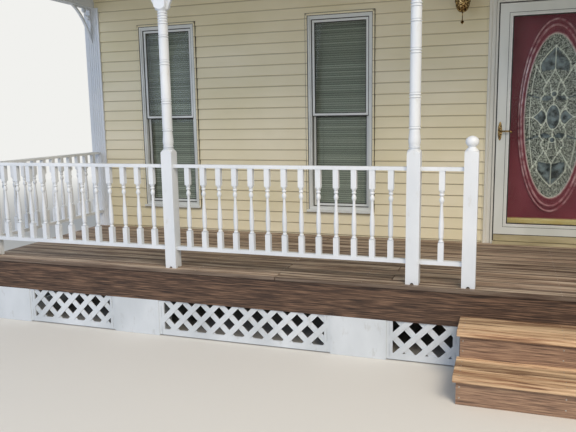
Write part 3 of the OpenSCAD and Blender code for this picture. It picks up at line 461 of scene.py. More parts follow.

# %% [markdown]
# Panes
#
# Float glass is clear with a faint green, and lets light through, so it is a transmission material
# with glass's own IOR of 1.5. A ray tracer lets no lamp shine straight through such a material,
# which would leave the door and the blinds behind it in the dark, so lamp light and light that
# bounces about meet a plain transparent shader instead. It also takes the larger share of what the
# camera sees through a pane, because this white studio would lie on the glass as a veil. Leaded
# door glass is pressed with a pattern that breaks up the view, which a strong bump at the size of
# the pattern, about 11 mm, gives; its dark and pale specks are painted light and shade, and its
# small white spots are a painted glint. Bevelled panes are smooth and deep, and their cool grey
# clouds are a painted reflection. The cames between them are soft, bright zinc.

# %% Glass materials
CLEAR_SHARE = 0.85
float_glass = coated(
    "clear_float_glass", "#f2f6f3",
    (0.2, EVEN, 2), [(0.3, "#ecf2ee"), (0.7, "#f7faf8")],
    (0.25, EVEN, 1), 0.0003, 0.2,
    Roughness=0.02, IOR=1.5, Transmission_Weight=1.0, Specular_IOR_Level=0.15,
)
tree = float_glass.node_tree
ray = add(tree, "ShaderNodeLightPath").outputs
straight = CLEAR_SHARE
for kind in ("Is Diffuse Ray", "Is Glossy Ray", "Is Shadow Ray"):
    straight = add(tree, MATH, [(0, straight), (1, ray[kind])], operation="MAXIMUM")
open_pane = add(tree, "ShaderNodeBsdfTransparent", [("Color", "#f6f9f7")])
parts = [(0, straight), (1, tree.nodes["Principled BSDF"]), (2, open_pane)]
pane = add(tree, "ShaderNodeMixShader", parts)
connect(tree, pane, tree.nodes["Material Output"].inputs["Surface"])

pressed_glass, tree, shader = new_material(
    "pressed_glass_painted_glints", "#8a8c7f", Roughness=0.16, IOR=1.5, Transmission_Weight=0.1
)
# Painted light: the chips' dark and pale specks stand for the light and shade seen through the
# pattern, and the small white spots are a painted glint.
chips = grain(tree, 0.011, EVEN, 3, 0.6)
tones = [(0.40, "#14181a"), (0.50, "#575a53"), (0.60, "#d3d3c8")]
tone = add(tree, RAMP, [(0, chips)], tones)
sparks = grain(tree, 0.005, EVEN, 2)
painted_glints = add(tree, RAMP, [(0, sparks)], [(0.585, "#000000"), (0.63, "#ffffff")])
lit = add(tree, MIX, [(0, painted_glints), (6, tone), (7, "#fbfbf4")], data_type="RGBA")
dress(tree, shader, lit, (chips, 0.004, 1.0))

# Painted reflection: the bevelled panes' cool grey clouds stand for what the deep glass reflects.
bevel_glass = coated(
    "bevelled_glass_painted_reflection", "#7f8c98",
    (0.05, EVEN, 2), [(0.38, "#252c33"), (0.62, "#919da6")],
    Roughness=0.04, IOR=1.52, Transmission_Weight=0.2,
)
came_zinc = coated(
    "zinc_came", "#ecebe4",
    (0.006, EVEN, 3), [(0.3, "#cfcdc3"), (0.6, "#fbfaf5")],
    (0.002, EVEN, 2), Metallic=1.0, Roughness=0.42,
)

# %% [markdown]
# Roof, masonry and the wall's inner face
#
# Asphalt shingles are felt covered with crushed stone, so their colour changes from grain to grain
# and from tab to tab. The stone is 1 to 2 mm across and is drawn 4 mm across. The foundation is
# concrete block with mortar joints, 400 by 200 mm, which Blender's brick pattern draws, and its
# open pores are drawn 6 mm across. The wall's back is plain plasterboard paint.

# %% Shingle, block and plaster
asphalt, tree, shader = new_material("mineral_shingle", "#5a5854", Roughness=0.9)
tab = add(tree, "ShaderNodeAttribute", attribute_name="shade").outputs["Fac"]
tones = [(0.0, "#43413e"), (0.5, "#5a5854"), (1.0, "#726e66")]
tone = add(tree, RAMP, [(0, tab)], tones)
grit = grain(tree, 0.004, EVEN, 4, 0.8)
speck = add(tree, RAMP, [(0, grit)], [(0.3, "#6c6c6c"), (0.7, "#ffffff")])
gritty = add(tree, MIX, [(0, 0.8), (6, tone), (7, speck)], **MULTIPLIED)
dress(tree, shader, gritty, (grit, 0.0015, 0.9))

block, tree, shader = new_material("concrete_block", "#a29d92", Roughness=0.88)
spot = add(tree, "ShaderNodeTexCoord").outputs["Object"]
axes = add(tree, "ShaderNodeSeparateXYZ", [(0, spot)]).outputs
along = add(tree, MATH, [(0, axes[0]), (1, axes[1])], operation="ADD")
face = add(tree, "ShaderNodeCombineXYZ", [(0, along), (1, axes[2])])
bond = [("Vector", face), ("Color1", "#a8a398"), ("Color2", "#979286"), ("Mortar", "#7d786d")]
bond += [("Scale", 1), ("Mortar Size", 0.005), ("Mortar Smooth", 0.2)]
bond += [("Brick Width", 0.4), ("Row Height", 0.2)]
courses = add(tree, "ShaderNodeTexBrick", bond).outputs
pores = grain(tree, 0.006, EVEN, 5, 0.7)
rough = add(tree, RAMP, [(0, pores)], [(0.3, "#8c8c8c"), (0.65, "#ffffff")])
porous = add(tree, MIX, [(0, 0.6), (6, courses["Color"]), (7, rough)], **MULTIPLIED)
dress(tree, shader, porous, (courses["Fac"], -0.006, 0.8), (pores, 0.002, 0.7))

plaster = coated(
    "painted_plasterboard", "#d9d5ca",
    (0.5, EVEN, 4), [(0.3, "#d1cdc1"), (0.7, "#dedad0")],
    (0.006, EVEN, 3), 0.0006, Roughness=0.7,
)

# %% [markdown]
# Hand the materials to the CAD solids
#
# A solid whose shape is right keeps it and only changes its material. Nothing is moved.

# %% Give materials to the solids
finishes = {
    paint_upright: "corner_trim corner_posts middle_posts step_posts newel_posts post_brackets",
    paint_rails: "railing_end_left railing_end_right railing_main_left railing_main_right "
    "step_railings side_railings front_beam side_beams eave_boards porch_ceiling",
    paint_skirt: "deck_piers front_lattice side_lattice",
    paint_trim: "door_jambs door_head",
    plaster: "house_wall_left house_wall_right house_wall_over_door",
    siding_cream: "roof_ends",
    window_vinyl: "window_frames window_sashes",
    slat_enamel: "window_blinds",
    float_glass: "window_glass storm_glass",
    storm_enamel: "storm_door",
    burgundy: "entry_door",
    pressed_glass: "oval_glass",
    aged_brass: "entry_knob",
    antique_brass: "storm_handle wall_lanterns",
    sill_enamel: "door_sill",
    deck_stain: "porch_floor",
    step_stain: "stair_treads",
    riser_stain: "stair_risers",
    frame_stain: "rim_boards floor_joists stair_stringers",
    asphalt: "roof_deck",
    block: "foundation_wall",
}
for material, names in finishes.items():
    for name in names.split():
        nodes[name].data.materials.clear()
        nodes[name].data.materials.append(material)
left_out = set(nodes) - set(" ".join(finishes.values()).split())
print("finishes", len(finishes), "nodes without one", sorted(left_out))

# %% [markdown]
# A tree that repeats one piece
#
# Siding, boards, shingles and slats are all rows of one piece. This Geometry Nodes tree makes a
# grid of points, puts a copy of the piece on each, moves each copy a little at random, and gives
# every loose part its own shade value. It ends in Realize Instances and Set Material, so the
# result is plain mesh.


# %% Build the repeating tree
TREE_INPUTS = {
    "Piece": "Object",
    "Columns": "Int",
    "Rows": "Int",
    "Column step": "Vector",
    "Row step": "Vector",
    "Shift of odd rows": "Float",
    "Jitter": "Vector",
    "Half turns of odd rows": "Float",
    "Seed": "Int",
    "Material": "Material",
}


def repeating_tree():
    """Makes the tree; a point's index gives its row and its column."""
    tree = bpy.data.node_groups.new("rows_of_one_piece", "GeometryNodeTree")
    for name, kind in TREE_INPUTS.items():
        tree.interface.new_socket(name, in_out="INPUT", socket_type="NodeSocket" + kind)
    tree.interface.new_socket("Geometry", in_out="OUTPUT", socket_type="NodeSocketGeometry")
    given = add(tree, "NodeGroupInput").outputs
    columns, jitter, seed = given["Columns"], given["Jitter"], given["Seed"]
    count = add(tree, MATH, [(0, columns), (1, given["Rows"])], operation="MULTIPLY")
    index = add(tree, "GeometryNodeInputIndex")
    share = add(tree, MATH, [(0, index), (1, columns)], operation="DIVIDE")
    row = add(tree, MATH, [(0, share)], operation="FLOOR")
    column = add(tree, MATH, [(0, index), (1, columns)], operation="MODULO")
    odd = add(tree, MATH, [(0, row), (1, 2)], operation="MODULO")
    shift = [(0, odd), (1, given["Shift of odd rows"]), (2, column)]
    moved = add(tree, MATH, shift, operation="MULTIPLY_ADD")
    steps = [(0, given["Column step"]), ("Scale", moved)]
    sideways = add(tree, VECTOR_MATH, steps, operation="SCALE")
    upward = add(tree, VECTOR_MATH, [(0, given["Row step"]), ("Scale", row)], operation="SCALE")
    place = add(tree, VECTOR_MATH, [(0, sideways), (1, upward)], operation="ADD")
    least = add(tree, VECTOR_MATH, [(0, jitter), ("Scale", -1.0)], operation="SCALE")
    reach = [(0, least), (1, jitter), ("Seed", seed)]
    wobble = add(tree, "FunctionNodeRandomValue", reach, data_type="FLOAT_VECTOR")
    final = add(tree, VECTOR_MATH, [(0, place), (1, wobble)], operation="ADD")
    points = add(tree, "GeometryNodePoints", [("Count", count), ("Position", final)])
    turned = [(0, odd), (1, given["Half turns of odd rows"])]
    half_turns = add(tree, MATH, turned, operation="MULTIPLY")
    angle = add(tree, MATH, [(0, half_turns), (1, math.pi)], operation="MULTIPLY")
    rotation = add(tree, "ShaderNodeCombineXYZ", [(2, angle)])
    piece = add(tree, "GeometryNodeObjectInfo", [("Object", given["Piece"])])
    laid = [("Points", points), ("Instance", piece.outputs["Geometry"]), ("Rotation", rotation)]
    copies = add(tree, "GeometryNodeInstanceOnPoints", laid)
    real = add(tree, "GeometryNodeRealizeInstances", [(0, copies)])
    island = add(tree, "GeometryNodeInputMeshIsland").outputs["Island Index"]
    draw = [("ID", island), ("Seed", seed)]
    chance = add(tree, "FunctionNodeRandomValue", draw, data_type="FLOAT")
    named = [("Geometry", real), ("Name", "shade")]
    shaded = add(tree, "GeometryNodeStoreNamedAttribute", named, data_type="FLOAT", domain="POINT")
    connect(tree, chance, next(s for s in shaded.inputs if s.name == "Value" and s.enabled))
    finish = [("Geometry", shaded), ("Material", given["Material"])]
    add(tree, "NodeGroupOutput", [(0, add(tree, "GeometryNodeSetMaterial", finish))])
    return tree


ROWS = repeating_tree()
print("tree", ROWS.name, "with", len(ROWS.nodes), "nodes")


# %% Mesh helpers and the call that uses the tree
def link(name, data):
    thing = bpy.data.objects.new(name, data)
    scene.collection.objects.link(thing)
    return thing


def bar(shape, low, high, round_off=0.0):
    """Adds a box to a bmesh, with its edges rounded off by a small bevel."""
    middle, size = (Vector(low) + Vector(high)) / 2, Vector(high) - Vector(low)
    place = Matrix.Translation(middle) @ Matrix.Diagonal((*size, 1))
    made = bmesh.ops.create_cube(shape, size=1, matrix=place)
    if round_off:
        edges = list({edge for vert in made["verts"] for edge in vert.link_edges})
        curve = {"offset": round_off, "segments": 2, "profile": 0.5}
        bmesh.ops.bevel(shape, geom=edges, affect="EDGES", **curve)


def wrap(shape, rings, closed=False):
    """Adds faces from ring to ring of points, and both ends too if the rings don't close."""
    rings = [[shape.verts.new(point) for point in ring] for ring in rings]
    faces = []
    for one, two in zip(rings, rings[1:] + (rings[:1] if closed else [])):
        for i in range(len(one)):
            j = (i + 1) % len(one)
            faces.append(shape.faces.new((one[i], one[j], two[j], two[i])))
    if not closed:
        faces += [shape.faces.new(rings[0]), shape.faces.new(rings[-1])]
    bmesh.ops.recalc_face_normals(shape, faces=faces)


def prism(shape, outline, start, pull):
    """Adds a solid with the given outline (a list of points) pulled out along a vector."""
    near = [Vector(start) + Vector(point) for point in outline]
    wrap(shape, [near, [point + Vector(pull) for point in near]])


def to_mesh(shape, name):
    mesh = bpy.data.meshes.new(name)
    shape.to_mesh(mesh)
    shape.free()
    return mesh


def keep(name, shape, material, body, slot, *replaced):
    """Makes a finished piece of a bmesh or a mesh on its body, and hides the CAD parts it
    replaces; slot is not used.
    """
    mesh = to_mesh(shape, name) if isinstance(shape, bmesh.types.BMesh) else shape
    thing = link(name, mesh)
    if not mesh.materials:
        mesh.materials.append(material)
    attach(thing, body)
    if replaced:
        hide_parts(*replaced)
    print(name, len(mesh.polygons), "faces")


def applied(thing):
    """The plain mesh that an object's modifiers make; the object itself goes."""
    graph = bpy.context.evaluated_depsgraph_get()
    mesh = bpy.data.meshes.new_from_object(thing.evaluated_get(graph), depsgraph=graph)
    old = thing.data
    bpy.data.objects.remove(thing)
    bpy.data.meshes.remove(old)
    return mesh


def rows(name, shape, material, start=(0, 0, 0), **wanted):
    """Repeats a bmesh with the tree; wanted holds the tree's inputs by name."""
    piece = link(name + "_one", to_mesh(shape, name + "_one"))
    holder = link(name + "_rows", bpy.data.meshes.new(name + "_rows"))
    modifier = holder.modifiers.new("rows", "NODES")
    modifier.node_group = ROWS
    keys = {s.name: s.identifier for s in ROWS.interface.items_tree if s.in_out == "INPUT"}
    values = {"Piece": piece, "Columns": 1, "Rows": 1, "Seed": 1, "Material": material}
    values.update({key.replace("_", " ").capitalize(): value for key, value in wanted.items()})
    for key, value in values.items():
        modifier[keys[key]] = value
    result = applied(holder)
    bpy.data.objects.remove(piece)
    result.transform(Matrix.Translation(start))
    result.name = name
    return result


def cut(mesh, boxes):
    """Takes boxes out of a mesh."""
    shape = bmesh.new()
    for low, high in boxes:
        bar(shape, low, high)
    cutter = link("cutter", to_mesh(shape, "cutter"))
    thing = link("being_cut", mesh)
    modifier = thing.modifiers.new("cut", "BOOLEAN")
    modifier.object = cutter
    modifier.solver = "EXACT"
    modifier.use_self = True
    result = applied(thing)
    bpy.data.objects.remove(cutter)
    return result


print("mesh helpers ready")

# %% [markdown]
# Lap siding
#
# Clapboard siding comes in courses about 102 mm high. Each course stands out at its lower edge and
# dips behind the one above, which gives the thin dark lines across the house. It could be an image
# of lines, but the lines would not cast a shadow. So one course is drawn as an outline pulled out
# along the wall, the tree stacks it, and the windows, the doorway and the corner boards are cut
# out of the stack.

# %% Lay the siding
SIDING_OUT, TOP_OUT, LIP = 0.013, 0.003, 0.003
# Two small distances that keep the faces of two pieces from lying in one plane.
HAIR, CLEAR = 0.0002, 0.0003
BEAM_T, UNDER_ROOF = 0.089, 0.01
OUT, FAR = 0.1, 9
ceiling_low, ceiling_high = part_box("porch_ceiling")
head_low, head_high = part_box("door_head")
roof_low, roof_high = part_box("roof_deck")


def stack_courses(name, half_length, low_z, count):
    """Courses on the wall, one on another from low_z up."""
    shape = bmesh.new()
    outline = [
        (0, 0, 0),
        (0, LIP - SIDING_OUT, 0),
        (0, -SIDING_OUT, LIP),
        (0, -SIDING_OUT, 2.5 * LIP),
        (0, -TOP_OUT, COURSE - HAIR),
        (0, 0, COURSE - HAIR),
    ]
    prism(shape, outline, (-half_length, 0, 0), (2 * half_length, 0, 0))
    start, step = (0, wall_y, low_z), (0, 0, COURSE)
    return rows(name, shape, siding_cream, start, rows=count, row_step=step)


def opening(low_x, high_x, low_z, high_z):
    """A box that cuts right through the siding."""
    return (low_x, wall_y - OUT, low_z), (high_x, wall_y + OUT, high_z)


below = math.ceil((ceiling_low.z - FIRST_SHADOW) / COURSE)
inner_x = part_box("side_beams")[1].x - BEAM_T
stack = stack_courses("siding", inner_x, FIRST_SHADOW, below)
holes = [opening(-FAR, FAR, 0, floor_high.z), opening(-FAR, FAR, ceiling_low.z, FAR)]
holes.append(opening(head_low.x, head_high.x, 0, head_high.z))
for low, high in windows + solids("corner_trim"):
    holes.append(opening(low.x, high.x, low.z, high.z))
keep("lap_siding", cut(stack, holes), siding_cream, "porch", "cream_siding")

above = math.ceil((wall_high.z - FIRST_SHADOW) / COURSE) - below
upper = stack_courses("siding_over_roof", -wall_low.x, FIRST_SHADOW + below * COURSE, above)
ends = [opening(-FAR, FAR, 0, roof_high.z - UNDER_ROOF), opening(-FAR, FAR, wall_high.z, FAR)]
keep("lap_siding_over_roof", cut(upper, ends), siding_cream, "porch", "cream_siding")

# %% [markdown]
# Channels round the openings
#
# Siding ends in a J-shaped channel, a cream strip that runs round each window and up both sides of
# the doorway. Its hollow is hidden by the siding, so it is drawn as a strip with a rounded front
# edge, a little prouder than the siding.


# %% J channels
def channel(shape, low, high, width, out):
    """Strips along both sides and the top, just inside a rectangle in the wall's plane."""
    y = wall_y - out
    bar(shape, (low.x, y, low.z), (low.x + width, wall_y, high.z), LIP)
    bar(shape, (high.x - width, y, low.z), (high.x, wall_y, high.z), LIP)
    bar(shape, (low.x, y, high.z - width), (high.x, wall_y, high.z), LIP)


WINDOW_MARGIN, DOOR_MARGIN = 0.002, 0.004
WINDOW_CHANNEL, DOOR_CHANNEL = (0.017, 0.024), (0.012, 0.019)
shape = bmesh.new()
margin = Vector((WINDOW_MARGIN, 0, WINDOW_MARGIN))
for low, high in windows:
    channel(shape, low - margin, high + margin, *WINDOW_CHANNEL)
margin = Vector((DOOR_MARGIN, 0, 0))
low = Vector((head_low.x, 0, floor_high.z)) - margin
high = Vector((head_high.x, 0, head_high.z + DOOR_MARGIN)) + margin
channel(shape, low, high, *DOOR_CHANNEL)
keep("j_channels", shape, siding_cream, "porch", "cream_siding")

# %% [markdown]
# Rubber seals and painted shade lines of the windows
# A dark rubber seal runs round each pane, and another closes the joint between a sash and its
# frame. They are partly real seals and partly painted shade: drawn dark and wide, they stand for
# the shadow lines in these joints. They are thin strips, and from the steps they read as the fine
# dark lines inside the white vinyl. Drawn as dark paint they would vanish from the side, so each
# has a thickness of its own.


# %% Seals and painted shade lines
def picture_frame(shape, box, grow, width, y_front, y_back):
    """Four square strips just inside the rectangle of a box that has grown by grow."""
    margin = Vector((grow, 0, grow))
    low, high = box[0] - margin, box[1] + margin
    bar(shape, (low.x, y_front, low.z), (low.x + width, y_back, high.z))
    bar(shape, (high.x - width, y_front, low.z), (high.x, y_back, high.z))
    bar(shape, (low.x + width, y_front, high.z - width), (high.x - width, y_back, high.z))
    bar(shape, (low.x + width, y_front, low.z), (high.x - width, y_back, low.z + width))


SEAL_W, PANE_SEAL_OUT, SASH_SEAL_OUT = 0.008, 0.003, 0.0015
JOINT_W, OUTER_GROW, INNER_GROW = 0.005, 0.007, -0.0152
OUTER_JOINT, INNER_JOINT = (0.0142, 0), (0.0168, 0.008)
shape = bmesh.new()
for box in solids("window_glass"):
    y = box[0].y
    picture_frame(shape, box, 0, SEAL_W, y - PANE_SEAL_OUT, y - CLEAR)
for box in solids("window_sashes"):
    y = box[0].y
    picture_frame(shape, box, 0, SEAL_W, y - SASH_SEAL_OUT, y - HAIR)
for box in windows:
    for grow, (front, back) in ((OUTER_GROW, OUTER_JOINT), (INNER_GROW, INNER_JOINT)):
        picture_frame(shape, box, grow, JOINT_W, wall_y - front, wall_y - back)
keep("window_seals", shape, rubber_and_painted_shade, "porch", "white_paint")

# %% [markdown]
# Floor boards
#
# The floor is laid with 140 mm boards that run along the house, with a 5 mm gap for rain and butt
# joints over the joists. Real boards let the eye count them by their gaps and rounded edges, which
# a painted line does not. One board row with its joints is drawn, and every other row is turned
# half round so that the joints are staggered.

# %% Lay the floor
GAP, BOARD_EDGE = 0.005, 0.003
BUTT_JOINTS = (-1, -0.42, 0.24, 1)
half_depth = (FLOOR_PITCH - GAP) / 2
joints = [share * floor_high.x for share in BUTT_JOINTS]
shape = bmesh.new()
for start, end in zip(joints, joints[1:]):
    low = (start + GAP / 2, -half_depth, floor_low.z)
    bar(shape, low, (end - GAP / 2, half_depth, floor_high.z), BOARD_EDGE)
floor_mesh = rows(
    "floor",
    shape,
    deck_stain,
    (0, floor_low.y + FLOOR_PITCH / 2, 0),
    rows=FLOOR_ROWS,
    row_step=(0, FLOOR_PITCH, 0),
    half_turns_of_odd_rows=1.0,
    seed=4,
)
keep("floor_boards", floor_mesh, deck_stain, "porch", "deck_stain", "porch_floor")
print("board pitch", round(FLOOR_PITCH, 4))

# %% [markdown]
# Tread boards
#
# Each tread is two wide boards with a gap between them, rounded where the foot meets the edge, and
# a narrow one at the back. They are plain boxes, and the tree only gives each its own shade.

# %% Lay the treads
TREAD_PITCH, TREAD_EDGE, NARROWEST = 0.1405, 0.006, 0.02
shape = bmesh.new()
for low, high in treads:
    y = low.y
    while y < high.y - NARROWEST:
        back = min(y + TREAD_PITCH - GAP, high.y)
        bar(shape, (low.x, y, low.z), (high.x, back, high.z), TREAD_EDGE)
        y += TREAD_PITCH
tread_mesh = rows("treads", shape, step_stain, seed=9)
keep("tread_boards", tread_mesh, step_stain, "porch", "deck_stain", "stair_treads")

# %% [markdown]
# Nail heads
#
# Every board is nailed down with galvanised nails: two to each joist, two to each stringer, and
# two through each riser. Zinc gives small grey sparks in straight lines, which show where the
# joists run. A head is a low disc 9 mm across, and it is drawn 11 mm across so that it shows.

# %% Drive the nails
HEAD_R, HEAD_H, TAPER = 0.0055, 0.0012, 0.7
BOARD_NAILS, TREAD_NAILS = (-0.035, 0.035), (0.03, 0.10, 0.18, 0.25)
RISER_NAILS = (0.3, 0.75)
WIDEST_JOIST = 0.06
nail_zinc = coated(
    "galvanised_nail", "#a9abaa",
    (0.003, EVEN, 3), [(0.35, "#7d7a74"), (0.65, "#cfd1d0")],
    (0.001, EVEN, 2), 0.0001, Metallic=1.0, Roughness=0.4,
)


def nail(shape, x, y, z, turn=Matrix()):
    """One nail head, flat on a board unless it is turned."""
    place = Matrix.Translation((x, y, z)) @ turn
    head = {"segments": 10, "radius1": HEAD_R, "radius2": TAPER * HEAD_R, "depth": HEAD_H}
    bmesh.ops.create_cone(shape, cap_ends=True, matrix=place, **head)


def middles(node, widest=math.inf):
    """The places along X of a node's solids that are no wider than widest."""
    return [(low.x + high.x) / 2 for low, high in solids(node) if high.x - low.x < widest]


shape = bmesh.new()
joists = middles("floor_joists", WIDEST_JOIST)
for x in joists:
    for row in range(FLOOR_ROWS):
        for side in BOARD_NAILS:
            nail(shape, x, floor_low.y + (row + 0.5) * FLOOR_PITCH + side, floor_high.z)
stringers = sorted({round(x, 3) for x in middles("stair_stringers")})
for low, high in treads:
    for x in stringers:
        for y in (low.y + back for back in TREAD_NAILS):
            if y < high.y:
                nail(shape, x, y, high.z)
facing_street = Matrix.Rotation(math.pi / 2, 4, "X")
for low, high in solids("stair_risers"):
    for x in stringers:
        for share in RISER_NAILS:
            nail(shape, x, low.y, low.z + share * (high.z - low.z), facing_street)
keep("nail_heads", shape, nail_zinc, "porch", "deck_stain")
print("joists", len(joists), "stringers", len(stringers))

# %% [markdown]
# Ceiling boards
#
# A porch ceiling is tongued and grooved, with a small V at each joint. Narrow boards whose edges
# are bevelled give the V where two of them meet, so no groove has to be cut.

# %% Board the ceiling
CEILING_BOARD = 0.09
count = round((ceiling_high.x - ceiling_low.x) / CEILING_BOARD)
pitch = (ceiling_high.x - ceiling_low.x) / count
shape = bmesh.new()
end = (pitch, ceiling_high.y, ceiling_high.z)
bar(shape, (0, ceiling_low.y, ceiling_low.z), end, BOARD_EDGE)
start = (ceiling_low.x, 0, 0)
boards = rows("ceiling", shape, paint_rails, start, columns=count, column_step=(pitch, 0, 0))
keep("ceiling_boards", boards, paint_rails, "porch", "white_paint", "porch_ceiling")

# %% [markdown]
# Shingles
#
# Three-tab shingles show tabs about 300 mm wide and 140 mm high, each row shifted by half a tab. A
# tab is a thin wedge that is thickest at its lower edge, and that edge draws the lines on the
# roof. The tree lays the tabs up the slope, and what runs past the roof's ends is cut away.

# %% Shingle the roof
ROOF_T, OVERHANG, SEAT, PAST_END = 0.09, 0.028, 0.0005, 0.02
TAB_W, TAB_H, SLOT, LAP = 0.302, 0.142, 0.004, 0.02
THICK, MIDWAY, THIN = 0.006, 0.004, 0.001
slope = math.atan2(roof_high.z - roof_low.z - ROOF_T, roof_high.y - roof_low.y)
uphill = Vector((0, math.cos(slope), math.sin(slope)))
normal = Vector((0, -math.sin(slope), math.cos(slope)))
eave_y = roof_low.y - OVERHANG
eave_z = roof_low.z + ROOF_T - OVERHANG * math.tan(slope) + SEAT
shape = bmesh.new()
outline = [
    Vector(),
    normal * THICK,
    uphill * TAB_H + normal * MIDWAY,
    uphill * (TAB_H + LAP) + normal * THIN,
    uphill * (TAB_H + LAP),
]
prism(shape, outline, (SLOT / 2, 0, 0), (TAB_W - SLOT, 0, 0))
roof_half = roof_high.x + PAST_END
tab_mesh = rows(
    "tabs",
    shape,
    asphalt,
    (-roof_half - TAB_W, eave_y, eave_z),
    columns=math.ceil(2 * roof_half / TAB_W) + 2,
    rows=math.ceil((roof_high.y - eave_y) / math.cos(slope) / TAB_H),
    column_step=(TAB_W, 0, 0),
    row_step=tuple(uphill * TAB_H),
    shift_of_odd_rows=0.5,
    seed=7,
)
beyond = [
    ((-FAR, -FAR, 0), (-roof_half, FAR, FAR)),
    ((roof_half, -FAR, 0), (FAR, FAR, FAR)),
    ((-FAR, wall_y, 0), (FAR, FAR, FAR)),
]
keep("shingle_tabs", cut(tab_mesh, beyond), asphalt, "porch", "shingles")

# %% [markdown]
# Blinds
#
# Each window has a closed blind of 25 mm slats. A slat is a thin curved strip, tipped until it
# overlaps the next, so that light catches each one on its own. Two ladder cords run down in front
# of the slats.

# %% Hang the blinds
CROWN, SLAT_HALF_T, RAILS_ROOM, UNEVEN = 0.0016, 0.0004, 0.045, 0.0006
HEAD_RAIL_H, FOOT_RAIL, FOOT_IN, RAIL_EDGE = 0.052, (0.001, 0.014), 0.003, 0.002
CORD_SHARES, CORD_HALF_W, CORD_DEPTH = (0.16, 0.84), 0.0012, (0.0005, 0.002)
CORD_FOOT, CORD_HEAD = 0.008, 0.01
outline = []
for face in (1, -1):
    for t in (-1, -0.5, 0, 0.5, 1):
        across, crown = face * t * SLAT / 2, CROWN * (1 - t * t) + face * SLAT_HALF_T
        y = across * math.cos(TIP) - crown * math.sin(TIP)
        outline.append((0, y, across * math.sin(TIP) + crown * math.cos(TIP)))
shape = bmesh.new()
blinds = solids("window_blinds")
for low, high in blinds:
    start = (low.x, (low.y + high.y) / 2, low.z + FIRST_SLAT)
    prism(shape, outline, start, (high.x - low.x, 0, 0))
slats = rows(
    "slats",
    shape,
    slat_enamel,
    rows=int((blinds[0][1].z - blinds[0][0].z - RAILS_ROOM) / SLAT_PITCH),
    row_step=(0, 0, SLAT_PITCH),
    jitter=(0, 0, UNEVEN),
    seed=3,
)
shape = bmesh.new()
shape.from_mesh(slats)
for low, high in blinds:
    bar(shape, (low.x, low.y, high.z - HEAD_RAIL_H), high, RAIL_EDGE)
    foot = (low.x, low.y + FOOT_IN, low.z + FOOT_RAIL[0])
    bar(shape, foot, (high.x, high.y - FOOT_IN, low.z + FOOT_RAIL[1]), RAIL_EDGE)
    for share in CORD_SHARES:
        x = low.x + share * (high.x - low.x)
        foot = (x - CORD_HALF_W, low.y + CORD_DEPTH[0], low.z + CORD_FOOT)
        bar(shape, foot, (x + CORD_HALF_W, low.y + CORD_DEPTH[1], high.z - CORD_HEAD))
keep("blind_slats", shape, slat_enamel, "porch", "blind_slats", "window_blinds")

# %% [markdown]
# The leaded oval
#
# The entry door's oval holds small panes of pressed and bevelled glass in metal cames. Drawn in a
# picture they would lie flat and throw no glint, so the cames are drawn as curves in the plane of
# the door, given a round section, and soldered with a flat dot at each joint. The pattern mirrors
# left to right and top to bottom, so only a quarter is listed, in millimetres from its middle.

# %% Draw the cames
glass_low, glass_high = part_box("oval_glass")
glass_mid = (glass_low + glass_high) / 2
half_w, half_h = (glass_high.x - glass_low.x) / 2, (glass_high.z - glass_low.z) / 2
FRONT = glass_low.y
MOULDING_HALF_W, MOULDING_HALF_H = 0.286, 0.830
CAME_R, JEWEL_R, BORDER_R, SOLDER_R = 0.0034, 0.0036, 0.004, 0.0095
CAME_OUT, SOLDER_OUT, CLEAR_OF_BORDER = 0.001, 0.0015, 0.004
BORDER_SHARE, SOLDER_FLAT = -0.05, 0.5
ARC_STEPS, OVAL_STEPS, OVAL_SIDES = 10, 96, 8
# In millimetres on the glass: two ovals' half sizes, and two heights from the pattern's middle.
CENTRE_OVAL, JEWEL, JEWEL_Z, EYE_Z = (54, 106), (24, 24), 196, 168


def ellipse_points(wide, tall, count, middle=0):
    """Points round an ellipse whose middle lies at the height middle."""
    turns = [2 * math.pi * i / count for i in range(count)]
    return [(wide * math.cos(turn), middle + tall * math.sin(turn)) for turn in turns]


def arc_between(start, end, bulge):
    """Points on a shallow arc; bulge is how far its middle leaves the straight line."""
    (x0, z0), (x1, z1) = start, end
    length = math.hypot(x1 - x0, z1 - z0)
    across = ((z1 - z0) / length, -(x1 - x0) / length)
    points = []
    for t in (i / ARC_STEPS for i in range(ARC_STEPS + 1)):
        lift = bulge * 4 * t * (1 - t)
        x, z = x0 + (x1 - x0) * t + across[0] * lift, z0 + (z1 - z0) * t + across[1] * lift
        points.append((x, z))
    return points


came_quarter = [
    ((56, -23), (90, -88), 4),
    ((90, -88), (75, -200), -22),
    ((75, -200), (74, -265), -16),
    ((74, -265), (50, -312), 0),
    ((66, -290), (171, -467), 0),
    ((50, -312), (0, -399), 0),
    ((24, -212), (50, -312), 6),
    ((0, -399), (0, -598), 0),
    ((0, -598), (116, -460), 8),
    ((116, -460), (124, -388), 0),
    ((224, -198), (105, -161), 0),
    ((190, 0), (150, -430), -12),
    ((166, 0), (97, -68), 6),
    ((97, -68), (56, -23), -6),
    ((0, -106), (0, -150), 0),
]
lines = [arc_between((166, 0), (232, 0), 0), arc_between((-166, 0), (-232, 0), 0)]
for line in [arc_between(*arc) for arc in came_quarter]:
    for side, end in ((1, 1), (1, -1), (-1, 1), (-1, -1)):
        if side == 1 or any(x > 1 for x, _ in line):
            lines.append([(side * x, end * z) for x, z in line])


def tube(shape, points, radius, closed=False, sides=6, flat=0.6):
    """A round bar along points (metres) that lie in the plane of the door."""
    rings = []
    last = len(points) - 1
    for i, point in enumerate(points):
        before = points[i - 1] if i or closed else point
        after = points[(i + 1) % len(points)] if i < last or closed else point
        side = (after - before).normalized().cross(Vector((0, 1, 0)))
        ring = []
        for angle in (2 * math.pi * k / sides for k in range(sides)):
            offset = side * math.cos(angle) * radius
            offset += Vector((0, -1, 0)) * math.sin(angle) * radius * flat
            ring.append(point + offset)
        rings.append(ring)
    wrap(shape, rings, closed)


